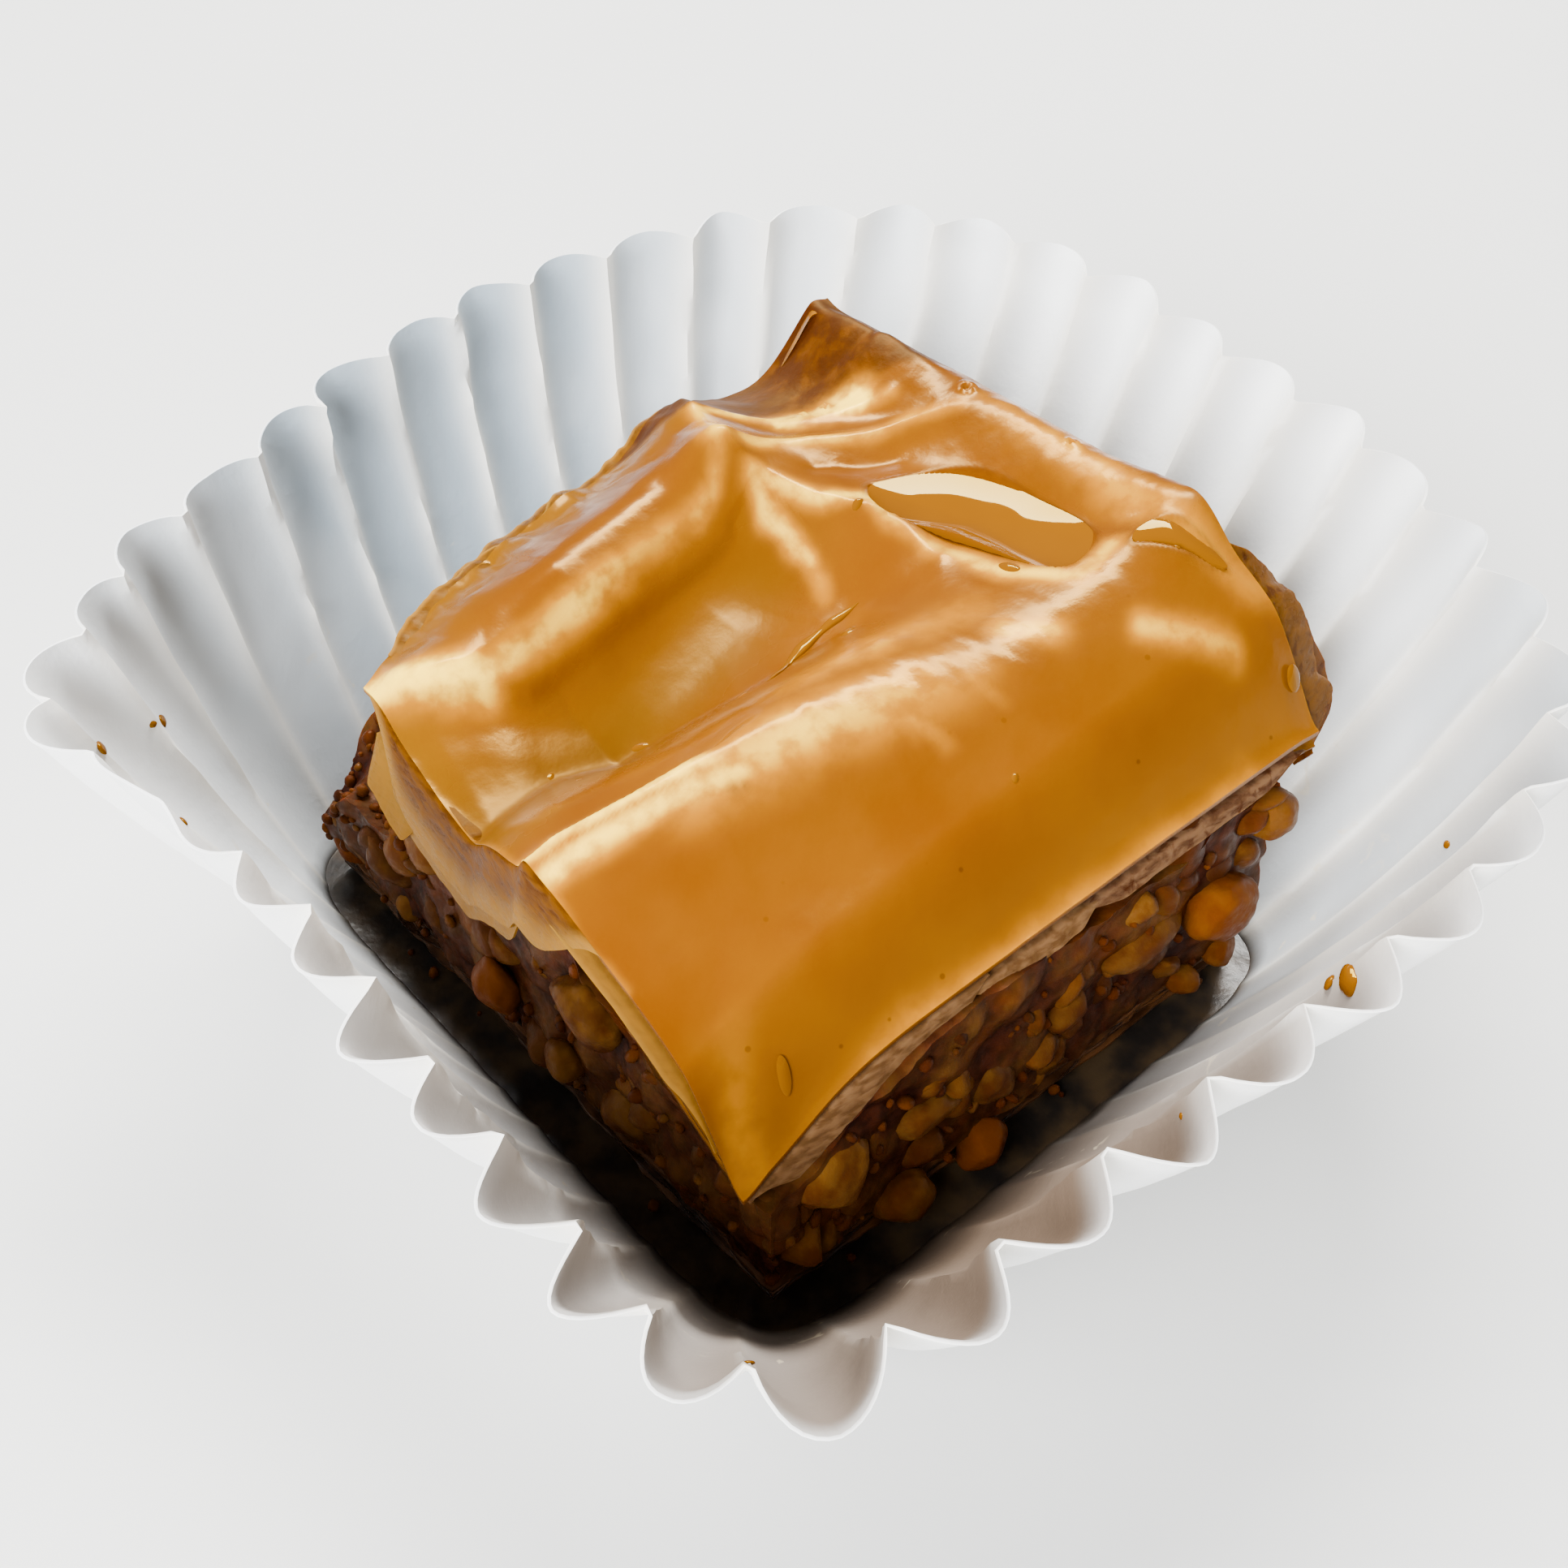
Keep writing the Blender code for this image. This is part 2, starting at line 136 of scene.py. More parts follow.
# ---- food, as in the part's source ----------------------------------------------------------
GAP = 0.3
BASE_HALF = (19.2, 21.7)
BASE_BOTTOM = 0.65
BASE_THICKNESS = 2.6
FILLING_HALF = (19.7, 22.2)
CRUMBLED_CORNER = (-20.2, 22.7)
CRUMBLED_LEVEL = 4.2
CRUMBLED_SLOPE = 1.3
SHEET_CORNER = {
    "near": (-20.8, -21.3),
    "right": (22.0, -22.4),
    "back": (22.2, 20.6),
    "left": (-18.0, 16.4),
}
SHEET_BULGE = {"front_right": -0.3, "back_right": 1.0, "back_left": 3.0, "front_left": 0.6}
SHEET_SETBACK = 0.7
UNDERSIDE = 15.9
UNDERSIDE_DROP_NEAR = 4.6
UNDERSIDE_DROP_LEFT = 5.6
UNDERSIDE_DROP_SPREAD = 7.0
UNDERSIDE_WAVE = 0.5
UNDERSIDE_WAVE_LENGTH = (30.0, 37.0)
TOP_LEVEL = 21.6
TOP_CLIMB = 0.055
TOP_FOLDS = (
    ("front roll", 5.4, ((-20.5, -3.4, 1.7), (-11.0, -6.0, 3.8), (-4.0, -7.4, 4.3), (20.5, -14.0, 2.6))),
    ("left ridge", 3.3, ((-18.5, 14.5, -0.6), (-6.0, 13.0, 3.2), (5.5, 15.0, 3.4), (9.5, 20.5, 2.4))),
    ("cross wrinkle", 2.8, ((7.5, 13.0, 1.4), (12.0, 3.0, 1.6))),
    ("back plateau", 6.0, ((13.0, 10.0, 2.6), (18.0, -8.0, 2.4))),
    ("back edge roll", 3.4, ((22.0, 14.0, 4.2), (22.5, -10.0, 3.4))),
    ("raised back corner", 3.2, ((22.5, 21.5, 6.6), (20.5, 15.5, 0.8))),
    ("hollow", 4.5, ((-21.0, 3.8, 0.1), (-9.0, 4.6, -3.9), (1.5, 6.2, -1.9))),
    ("syrup dip", 2.3, ((12.2, 5.0, -1.1), (18.2, -6.2, -1.1))),
    ("small syrup dip", 1.5, ((20.2, -9.2, -0.8), (21.6, -13.4, -0.8))),
)
EDGE_DROP = {"front_right": 3.4, "back_right": 1.0, "back_left": 0.7, "front_left": 0.6}
EDGE_WIDTH = {"front_right": 5.5, "back_right": 1.6, "back_left": 3.6, "front_left": 2.0}
TIP_DROP = 3.7
TIP_SPREAD = 4.6
LEFT_CORNER_DROP = 0.6
LEFT_CORNER_SPREAD = 5.0

# ---- fine shape of the top sheet ----------------------------------------------------------
TOP_GRID = 200
SHEET_THICKNESS = 0.35
# Narrow folds on top of the broad ones: name, half width, line of (x, y, rise).
FINE_FOLDS = (
    ("left ridge crest", 1.1, ((-17.5, 14.6, 0.2), (-13.5, 11.9, 0.55), (-6.0, 11.3, 0.5), (4.0, 11.8, 0.5))),
    ("star to the basin", 0.9, ((6.9, 13.0, 0.5), (7.1, 9.0, 0.75), (6.6, 4.9, 0.5), (5.9, 1.6, 0.1))),
    ("star to the pool", 0.9, ((6.9, 12.6, 0.5), (9.1, 7.0, 0.6), (11.0, 4.6, 0.5), (11.0, -2.0, 0.4))),
    ("star to the back", 0.8, ((7.5, 13.2, 0.5), (12.3, 11.2, 0.7), (17.5, 8.4, 0.6), (20.2, 6.3, 0.2))),
    ("star to the left edge", 0.9, ((6.5, 13.5, 0.5), (8.5, 17.0, 0.5), (9.5, 20.5, 0.7))),
    ("orange pocket", 1.3, ((11.0, 9.2, -0.6), (15.5, 7.0, -0.55))),
    ("pocket left of the star", 1.6, ((3.0, 14.5, -0.35), (7.0, 17.5, -0.4))),
    ("slab crest", 1.0, ((-20.0, -2.9, 0.45), (-14.0, -4.9, 0.5), (-7.0, -6.3, 0.2), (0.0, -7.8, 0.0))),
    ("knob to the glint patch", 0.8, ((9.2, 18.8, 0.4), (11.5, 16.6, 0.5), (14.0, 14.0, 0.45),
                                      (18.6, 10.8, 0.3))),
    ("valley", 1.8, ((-21.0, 2.8, -0.9), (-13.0, 4.7, -1.2), (-7.3, 3.8, -1.2), (-2.2, 0.9, -1.0),
                     (4.7, -0.3, -0.6), (8.5, 2.2, -0.2))),
)
# Low swells, wider than the folds: name, half width, line of (x, y, rise).
SWELLS = (
    ("plateau behind the crest", 3.4, ((-5.0, -4.8, 0.3), (3.0, -5.2, 1.0), (11.0, -4.4, 0.8))),
    ("left end of the left ridge", 2.0, ((-18.6, 15.6, 1.4), (-15.9, 13.2, 1.0), (-12.5, 11.2, 0.2))),
    ("beside the pool", 2.0, ((8.6, 1.0, 0.4), (9.8, -2.5, 0.3))),
)
# the front edge turns down, and the back right one stands up nearly to the back corner
FRONT_LIP = 0.9
FRONT_LIP_WIDTH = 1.3
BACK_RIGHT_LIFT = 0.85
BACK_RIGHT_LIFT_END = 0.7
BACK_RIGHT_LIFT_FADE = 0.2
# the sheet turns down over its left edge beside the hollow: drop, half width, middle, half length
LEFT_LIP = (1.5, 3.2, 5.5, 5.0)
# Lines where the sheet drops off sharply on the left: name, width of the drop, width of the way
# back up, line of (x, y, drop).
STEPS_DOWN = (
    ("slab crest", 0.8, 4.0, ((-20.3, -2.7, 0.7), (-14.0, -4.6, 0.9), (-9.0, -5.6, 0.7), (-5.5, -5.6, 0.0))),
    ("left ridge", 0.8, 3.5, ((4.5, 10.3, 0.3), (-6.0, 9.8, 0.5), (-11.0, 9.6, 0.6), (-15.5, 12.0, 0.5),
                              (-17.5, 14.0, 0.0))),
)
# fine pleats of the slab run down its slope, along this direction in plan
PLEAT_RUN = (0.28, -0.96)
PLEAT_LENGTH = 5.0
PLEAT_WIDTH = 0.9
PLEAT_HEIGHT = 0.035
PLEAT_REACH = 5.0
SLAB_CREST = ((-20.0, -3.0, 1.0), (-8.0, -6.6, 1.0), (4.0, -9.0, 1.0), (15.0, -12.8, 1.0), (20.5, -17.0, 1.0))
BROWN_STRIP = ((20.6, 13.0, 1.0), (20.8, 0.0, 1.0), (21.2, -12.0, 0.8))
BROWN_STRIP_HALF = 2.6
BROWN_STRIP_TOAST = 0.3
BLISTER_HEIGHT = 0.14
BLISTER_SIZE = 1.8
# beyond this line the sheet rises to the browned back corner
CORNER_LINE = ((11.5, 16.6), (24.4, 8.4))
CORNER_TIP = (21.6, 19.2)
CORNER_TIP_SPREAD = 4.2
CORNER_CHAR = 0.85
CORNER_FADE = 1.2
CORNER_RAGGEDNESS = 0.3
CORNER_RAGGED_SIZE = 1.5
# burst bubbles: x, y, radius
BUBBLES = ((21.6, 6.9, 0.5), (22.0, -1.6, 0.35), (14.6, 14.6, 0.25), (15.9, 13.9, 0.3))
BUBBLE_RIM = 0.22
BUBBLE_RIM_WIDTH = 0.3
BUBBLE_DIP = 0.3
# a painted highlight: a creamy glint with small holes, in the browned corner, and how widely it
# clears the browning
GLINT_PATCH = ((13.4, 14.6, 1.0), (17.3, 12.6, 1.0))
GLINT_HALF = 1.2
GLINT_HOLES = 0.6
GLINT_HOLE_SIZE = 0.9
GLINT_CLEARS_TOAST = 1.0
GLINT_CLEARS_CHAR = 1.4
# the hollow is painted darker, as shade, and is less glossy than the folds
CALM_HOLLOW = ((-19.0, 3.5, 0.8), (-9.0, 5.2, 1.0), (-1.0, 5.6, 1.0), (3.5, 6.8, 0.8))
CALM_HOLLOW_HALF = 3.2
# the sheet is crumpled along its back left edge, up to a share of its length
CRUMPLE_HEIGHT = 0.75
CRUMPLE_SIZE = 2.6
CRUMPLE_SQUEEZE = 0.6
CRUMPLE_WIDTH = 2.6
CRUMPLE_END = 0.86
CRUMPLE_FADE = 6.0
# slight unevenness all over, as heights and sizes
UNDULATION = (0.05, 4.5)
FINE_UNDULATION = (0.02, 1.1)
DARK_EDGE_HALF = 0.3
SPECKS_REACH = 14.0
# Golden areas: the back left edge, up to a share of its length, and others, each with its
# strength and the start and length over which it comes in, along x and along y.
GOLD_EDGE = 0.8
GOLD_EDGE_WIDTH = 3.4
GOLD_EDGE_END = 0.8
GOLD_EDGE_FADE = 8.0
EVERYWHERE = (-100.0, 1.0)
GOLD_AREAS = (
    ("left corner", 1.0, (-13.0, -8.0), (-2.0, 4.0)),
    ("near corner", 0.4, EVERYWHERE, (-15.0, -6.0)),
    ("right side", 0.2, (2.0, 10.0), (-8.0, -4.0)),
)
DARK_EDGE = ((23.5, 1.5, 0.7), (24.0, -6.5, 1.0), (23.3, -13.5, 1.0))
# Creamy strokes, partly paler thin pastry and partly painted highlights where the glaze catches the
# light: name, half width, line of (x, y, strength).
PALE_AND_HIGHLIGHT_STROKES = (
    ("wedge", 0.75, ((-20.4, -2.4, 1.0), (-15.2, -4.2, 1.0), (-11.5, -5.6, 0.9), (-8.5, -6.5, 0.5))),
    ("under the wedge", 0.9, ((-20.0, -4.4, 0.9), (-14.0, -6.2, 0.8), (-9.0, -7.6, 0.7))),
    ("crest", 1.9, ((-12.0, -6.6, 0.55), (-5.0, -8.0, 0.7), (1.0, -9.6, 0.55), (5.0, -10.6, 0.35))),
    ("behind the crest", 1.5, ((-3.5, -4.6, 0.3), (2.0, -5.4, 0.5), (8.0, -6.6, 0.35))),
    ("crest patch 1", 0.9, ((8.3, -9.4, 0.7), (10.3, -11.6, 0.6))),
    ("crest patch 2", 0.9, ((14.4, -14.4, 0.6), (18.0, -17.6, 0.5))),
    ("crest patch 3", 0.7, ((0.0, -10.4, 0.5), (0.8, -12.8, 0.25))),
    ("crest patch 4", 0.6, ((4.4, -10.4, 0.5), (5.2, -13.0, 0.25))),
    ("by the pool", 0.8, ((11.3, -1.0, 0.6), (12.0, -5.6, 0.75), (13.9, -9.6, 0.7), (17.2, -9.4, 0.6))),
    ("left end of the left ridge", 1.3, ((-18.2, 15.6, 1.0), (-15.9, 13.2, 1.0), (-13.5, 11.2, 0.9))),
    ("left ridge", 0.8, ((-13.5, 11.2, 0.8), (-9.5, 10.8, 0.6), (-6.0, 10.7, 0.7), (-0.4, 11.4, 0.5),
                         (4.4, 11.6, 0.5))),
    ("star left", 0.6, ((6.9, 13.2, 0.4), (4.6, 11.4, 0.5), (3.2, 11.2, 0.4))),
    ("star to the knob", 0.8, ((6.9, 13.4, 0.7), (8.2, 16.6, 0.6), (9.6, 19.8, 0.9))),
    ("knob to the glint", 0.6, ((9.0, 18.6, 0.7), (11.5, 16.6, 0.8), (14.0, 14.2, 0.8), (18.6, 10.8, 0.5))),
    ("star to the back", 0.6, ((7.4, 12.8, 0.6), (10.5, 12.0, 0.75), (14.1, 10.0, 0.6), (18.0, 8.3, 0.5),
                               (20.6, 6.0, 0.4))),
    ("star to the hollow", 0.55, ((7.2, 10.5, 0.6), (6.9, 7.9, 0.75), (6.7, 4.9, 0.6), (5.6, 2.2, 0.3))),
    ("star to the pool", 0.6, ((7.2, 10.8, 0.6), (9.1, 6.9, 0.8), (11.4, 5.3, 0.8), (10.8, 2.4, 0.6),
                               (11.3, -1.2, 0.5))),
    ("tip facet", 1.3, ((-17.6, -17.4, 0.2), (-19.8, -20.4, 0.45))),
    ("front edge", 1.0, ((-12.0, -21.3, 0.3), (0.0, -22.0, 0.4), (16.0, -22.2, 0.35))),
    ("left edge", 0.4, ((-19.4, 8.0, 0.2), (-20.3, -1.0, 0.4), (-20.8, -12.0, 0.3))),
    ("back strip", 1.4, ((22.0, 5.0, 0.3), (21.8, -2.0, 0.5), (20.6, -8.5, 0.45), (21.8, -16.0, 0.4))),
)
PALE_WANDER = 0.5
PALE_WANDER_SIZE = 3.0
# small dark crumbs baked on: x, y, size
SPOTS = ((-10.1, -8.2, 0.3), (-9.6, -8.4, 0.22))
# cut edges of the leaves in the stack, and how pale each leaf is over its rows
STRATA = 9
STRATA_STEP = 0.24
STRATA_STEP_SIZE = 3.2
STRATA_GROOVE = 0.14
STRATA_SWAY = 0.12
STRATA_SWAY_SIZE = 2.2
ROWS_PER_LEAF = 4
PALE_BY_ROW = (0.9, 0.35, 0.1, 0.0)
UNDERSIDE_RINGS = 13
STREAK_SIZE = 1.5
SIDE_GOLD = 0.3
SIDE_CHAR_BROWNED = 0.6
SIDE_PALE = 0.5
SIDE_PALE_BROWNED = 0.05
# painted shade on the stack's sides, most on the front right
SIDE_SHADE = 0.15
SIDE_SHADE_FRONT = 0.9
SIDE_SHARE = 0.02

# ---- syrup --------------------------------------------------------------------------------
# Outline of each pool in plan, and how far its middle stands above its rim, or dips below it.
POOLS = (
    ("pool", ((12.1, 5.9), (13.8, 5.6), (16.7, 3.6), (18.0, 1.0), (18.3, -3.0), (18.3, -6.5), (17.0, -8.3),
              (14.6, -8.8), (13.4, -6.8), (12.7, -1.6), (11.1, 3.0)), -0.60),
    ("small_pool", ((17.7, -10.4), (19.6, -10.2), (20.7, -11.3), (21.1, -14.7), (19.5, -13.0)), 0.28),
)
POOL_DEPTH = 0.85
POOL_SLOPE = 0.7
POOL_LIP = 0.1
POOL_LIP_HALF = 0.35
# the thin dark rim round each pool, painted shade at the syrup's edge: strength, distance outside it
# and half width
POOL_RIM = (0.45, 0.1, 0.16)
POOL_STEPS = 8
LENS_RINGS = 12
# drops on the sheet: x, y, half length, half width, turn in degrees
SHEET_DROPS = (
    (21.6, -20.2, 0.55, 0.42, 20.0), (4.3, -1.2, 0.5, 0.32, 10.0), (-16.4, -19.4, 0.6, 0.35, 70.0),
    (-13.0, 5.0, 0.42, 0.26, 30.0), (-7.3, 4.0, 0.5, 0.25, 150.0), (-2.2, 0.7, 0.45, 0.28, 10.0),
    (-12.4, 3.0, 0.22, 0.2, 0.0), (12.5, -5.9, 0.7, 0.4, 100.0), (2.8, -16.2, 0.28, 0.2, 40.0),
    (10.6, 4.9, 0.5, 0.28, 20.0), (19.4, -12.2, 0.45, 0.3, 60.0),
)
DROP_HEIGHT = 0.5
DROP_DEPTH = 0.1
DROP_SIDES = 24
# a thread of syrup that has run into the hollow, and its half width and height
THREAD = ((-1.2, -0.5), (0.8, 0.3), (2.7, 0.7), (4.6, 0.7), (6.5, 0.3))
THREAD_HALF = 0.38
THREAD_HEIGHT = 0.28
THREAD_STEPS = 41
THREAD_SIDES = 16
THREAD_SMOOTHINGS = 6
THREAD_LUMPS = 0.25
THREAD_LUMP_TURN = 17.0
# drops on the paper: place, radius
PAPER_DROPS = (
    ((-27.6, 24.9, 16.0), 0.45), ((-29.6, 18.5, 22.0), 0.5), ((-27.2, 18.9, 16.0), 0.35),
    ((-28.4, 21.8, 18.5), 0.25), ((4.7, -35.0, 22.0), 0.9), ((5.9, -34.2, 20.5), 0.45),
    ((-10.3, -33.7, 22.0), 0.22), ((-8.3, -34.3, 22.0), 0.2), ((-27.0, -31.6, 22.0), 0.3),
    ((24.0, -32.0, 15.0), 0.3),
)
PAPER_DROP_LUMPS = 0.25
PAPER_DROP_SHAPE = (1.0, 0.8, 0.4)

# ---- leaves at the sides: side, start, end, depth under the edge, reach, droop, pale, toast ----
SIDE_LEAVES = (
    ("front_right", 0.01, 0.40, 0.8, 0.6, 1.7, 0.55, 0.0),
    ("front_right", 0.08, 0.60, 1.7, 0.35, 1.0, 0.0, 1.0),
    ("front_right", 0.36, 0.60, 1.2, 0.5, 0.8, 0.6, 0.3),
    ("front_right", 0.55, 0.98, 1.2, 0.4, 0.8, 0.0, 1.0),
    ("front_left", 0.06, 0.50, 1.2, 0.5, 0.6, 0.35, 0.0),
    ("front_left", 0.30, 0.985, 0.12, 1.0, 4.3, 0.0, 0.0),
    ("front_left", 0.40, 0.97, 0.9, 1.0, 4.6, 0.0, 0.1),
    ("front_left", 0.80, 0.98, 3.4, 1.5, 2.4, 0.5, 0.1),
    ("back_left", 0.02, 0.40, 0.7, 1.2, 1.2, 0.1, 0.0),
    ("back_left", 0.06, 0.34, 0.1, 0.8, 0.1, 0.1, 0.0),
    ("back_left", 0.12, 0.50, 0.3, 1.1, 0.4, 0.1, 0.0),
    ("back_left", 0.40, 0.70, 0.2, 0.9, 0.3, 0.1, 0.0),
    ("back_left", 0.30, 0.80, 1.4, 1.3, 0.9, 0.1, 0.1),
    ("back_left", 0.70, 0.98, 1.2, 0.6, 0.4, 0.0, 0.6),
    ("back_right", 0.0, 0.24, 1.2, 3.0, 1.0, 0.1, 0.9),
    ("back_right", 0.0, 0.22, 1.9, 3.3, 1.2, 0.0, 0.9),
    ("back_right", 0.30, 0.95, 1.5, 0.5, 0.3, 0.0, 0.7),
)
LEAF_STEPS_ALONG = 90
LEAF_STEPS_OUT = 20
LEAF_ROOT = 1.5
LEAF_THICKNESS = 0.14
LEAF_RIM = 0.6
LEAF_RIM_WIDTH = 0.2
LEAF_BROWNING = 0.6
LEAF_FADE = 4.5
LEAF_DROOP_POWER = 1.4
# sizes of a leaf's tears, frayed bits and waves, and how deep the fraying is beside the tears
LEAF_TEAR = 2.4
LEAF_FRAY = 0.7
LEAF_FRAY_SHARE = 0.4
LEAF_WAVE_SIZE = 2.8
LEAF_WAVE = {"front_right": 0.18, "back_right": 0.2, "back_left": 0.5, "front_left": 0.12}
LEAF_RAGGED = {"front_right": 0.3, "back_right": 0.3, "back_left": 0.4, "front_left": 0.12}

# ---- nuts: name, place, radii, tone, orange, skin -------------------------------------------
FILLING_STEPS = 100
FILLING_ROWS = 44
FILLING_FLOOR_RINGS = 7
FILLING_TOP_RINGS = 24
# relief of the filling: nuts, smaller nuts and grit, by spacing and height, over a flat paste
FILLING_NUTS = (4.2, 1.5)
FILLING_SMALL_NUTS = (1.8, 0.6)
FILLING_GRIT = (0.9, 0.14)
NUT_REACH = 0.5
PASTE_LEVEL = -0.35
SIDE_RELIEF = 0.75
TOP_RELIEF = 0.6
TOP_RELIEF_MOST = 0.3
TOP_SINK = 0.2
NAMED_NUTS = (
    ("round under the tip", (-15.6, -22.2, 9.4), (2.7, 1.7, 2.8), 0.95, 0.1, 0.1),
    ("small beside it", (-10.4, -22.9, 2.7), (1.9, 1.5, 1.9), 0.7, 0.3, 0.3),
    ("long by the tip", (-8.6, -22.4, 8.8), (2.1, 1.3, 1.3), 0.75, 0.0, 0.3),
    ("middle", (-3.4, -22.4, 7.4), (1.6, 1.2, 1.5), 0.6, 0.0, 0.4),
    ("orange at the foot", (-4.2, -23.0, 2.5), (1.8, 1.4, 1.6), 0.45, 0.9, 0.2),
    ("right of the middle", (2.6, -22.5, 8.8), (1.6, 1.2, 1.5), 0.5, 0.1, 0.5),
    ("long on the right", (8.8, -22.6, 10.2), (3.1, 1.2, 1.4), 0.65, 0.1, 0.3),
    ("standing out on the right", (15.2, -23.4, 9.2), (2.8, 1.9, 2.3), 0.7, 0.7, 0.1),
    ("low right", (17.0, -22.9, 3.6), (1.2, 1.1, 1.0), 0.7, 0.4, 0.2),
    ("low right neighbour", (13.6, -22.9, 3.2), (1.1, 1.0, 0.9), 0.75, 0.2, 0.2),
    ("right corner", (20.0, -22.6, 13.3), (1.6, 1.4, 1.7), 0.8, 0.3, 0.2),
    ("big oval on the left", (-20.5, -7.4, 13.2), (1.5, 2.5, 2.3), 0.85, 0.1, 0.6),
    ("small round on the left", (-20.6, -4.8, 6.4), (1.2, 1.5, 1.4), 0.8, 0.1, 0.2),
    ("orange on the left", (-20.6, 2.0, 7.0), (1.3, 1.6, 2.3), 0.5, 0.9, 0.1),
    ("left corner", (-18.9, 20.9, 3.4), (1.7, 1.7, 1.5), 0.3, 0.9, 0.2),
    ("yellow lump", (-19.6, 12.6, 9.6), (1.4, 1.9, 1.7), 0.7, 0.3, 0.2),
)
SMALL_NUTS = 130
SMALL_NUT_SIZE = (0.7, 1.9)
SMALL_NUT_STRETCH = (0.55, 1.45)
SMALL_NUT_SINK = 0.7
CRUMBS = 320
CRUMB_SIZE = (0.18, 0.5)
CRUMB_STRETCH = (0.7, 1.3)
CRUMB_OUT = (-0.2, 0.15)
SLOPE_CRUMBS = 60
SLOPE_INSET = 1.0
SLOPE_REACH = (6.0, 8.0)
FALLEN_CRUMBS = 24
FALLEN_INSET = 1.6
FALLEN_STEPS = 40
FALLEN_LEVEL = 0.45
# how far from its middle a chopped nut is cut, and how much of what is past a cut is gone
CUTS = 2
CUT_AT = (0.55, 0.85)
CUT_SHARE = 0.7
CUT_EDGE = 8.0
NAMED_NUT_SINK = 0.45

# ---- bottom pastry ------------------------------------------------------------------------
BASE_SHEETS = 6
ROWS_PER_SHEET = 4
BASE_STEPS = 120
BASE_RINGS = 6
BASE_UNEVENNESS = 0.55
BASE_UNEVEN_SIZE = 3.5
BASE_GROOVE = 0.3

# ---- gloss: scattering in pastry and nuts, specular tints, and roughness from low to high -------
PASTRY_SCATTER = (1.0, 0.45, 0.12)
NUT_SCATTER = (1.0, 0.4, 0.12)
PASTRY_TINT = (1.0, 0.5, 0.0, 1.0)
NUT_TINT = (1.0, 0.5, 0.2, 1.0)
SYRUP_TINT = (1.0, 0.66, 0.0, 1.0)
DRY_PAPER_ROUGHNESS = 0.6
SOAKED_PAPER_ROUGHNESS = 0.3
SHEET_ROUGHNESS = (0.18, 0.27)
BROWNED_ROUGHNESS = 0.36
CHARRED_ROUGHNESS = 0.6
LEAF_ROUGHNESS = (0.25, 0.45)
NUT_ROUGHNESS = (0.3, 0.55)
SYRUP_ROUGHNESS = (0.01, 0.04)
FLOOR_ROUGHNESS = (0.55, 0.65)

# ---- colours, linear --------------------------------------------------------------------------
PAPER_WHITE = (0.95, 0.95, 0.94)
# painted cool shade inside the wall, at the back left and near the right corner
PAPER_COOL_SHADE = (0.285, 0.345, 0.395)
# painted highlight along the inward folds
PAPER_FOLD_HIGHLIGHT = (0.95, 0.90, 0.80)
# painted shade on one side of each flute
PAPER_FLUTE_SHADE = (0.14, 0.115, 0.098)
PAPER_STAIN = (0.62, 0.52, 0.36)
# painted warm shade on the inside of the wall round the near corner
PAPER_WARM_SHADE = (0.135, 0.094, 0.065)
SOAKED_DARK = (0.010, 0.008, 0.007)
SOAKED_BROWN = (0.045, 0.028, 0.014)
AMBER = (0.122, 0.0325, 0.0)
AMBER_LIGHT = (0.144, 0.0430, 0.0)
GOLD = (0.140, 0.0535, 0.0)
# painted shade in the hollow
HOLLOW_SHADE = (0.095, 0.0335, 0.0)
GLOW = (0.34, 0.122, 0.0)
CREAM = (0.95, 0.60, 0.04)
TOAST = (0.050, 0.0115, 0.0)
CHAR = (0.028, 0.0055, 0.0008)
LAYER_TAN = (0.075, 0.024, 0.001)
# painted shade on the stack's front right side
LAYER_SHADE = (0.07, 0.027, 0.010)
LEAF_PALE = (0.085, 0.027, 0.0)
LEAF_TAN = (0.047, 0.0130, 0.0)
LEAF_BROWN = (0.030, 0.009, 0.0025)
LEAF_WHITE = (0.30, 0.145, 0.02)
# painted shade on the front right leaves
LEAF_SHADE = (0.055, 0.025, 0.012)
LEAF_SHADE_PALE = (0.13, 0.068, 0.033)
NUT_DARK = (0.010, 0.0022, 0.0015)
NUT_BROWN = (0.032, 0.0072, 0.0032)
NUT_AMBER = (0.085, 0.0255, 0.0035)
NUT_PALE = (0.155, 0.066, 0.010)
NUT_ORANGE = (0.105, 0.022, 0.0)
NUT_SKIN = (0.020, 0.0045, 0.001)
BASE_DARK = (0.014, 0.005, 0.002)
BASE_TAN = (0.08, 0.028, 0.006)
SYRUP = (0.145, 0.0485, 0.0)
SYRUP_DEEP = (0.122, 0.0385, 0.0)
FLOOR_PALE = (0.60, 0.60, 0.59)
FLOOR_PALER = (0.64, 0.64, 0.63)

# ---- studio, in metres ------------------------------------------------------------------------
FLOOR_SIZE = 3.0
LIGHT_AIM = (0.0, 0.0, 0.015)
# name, place, width and height, power in watts, colour, and whether gloss mirrors it
LIGHTS = (
    ("window", (0.208, 0.231, 0.47), (0.46, 0.13), 13.0, (1.0, 0.99, 0.96), True),
    ("left_fill", (-0.50, -0.16, 0.34), (0.5, 0.35), 20.0, (0.98, 0.99, 1.0), False),
)
WORLD_COLOUR = (0.97, 0.95, 0.90)
WORLD_STRENGTH = 0.25

# edges sharper than this, in degrees, are shaded as edges
SHARP_ANGLE = 50.0
NUT_SHARP_ANGLE = 120.0
# large odd numbers that scatter whole-numbered places
SCATTER = (374761393, 668265263, 1440662683, 974634777)
SCATTER_AGAIN = (1274126177, 2246822519)


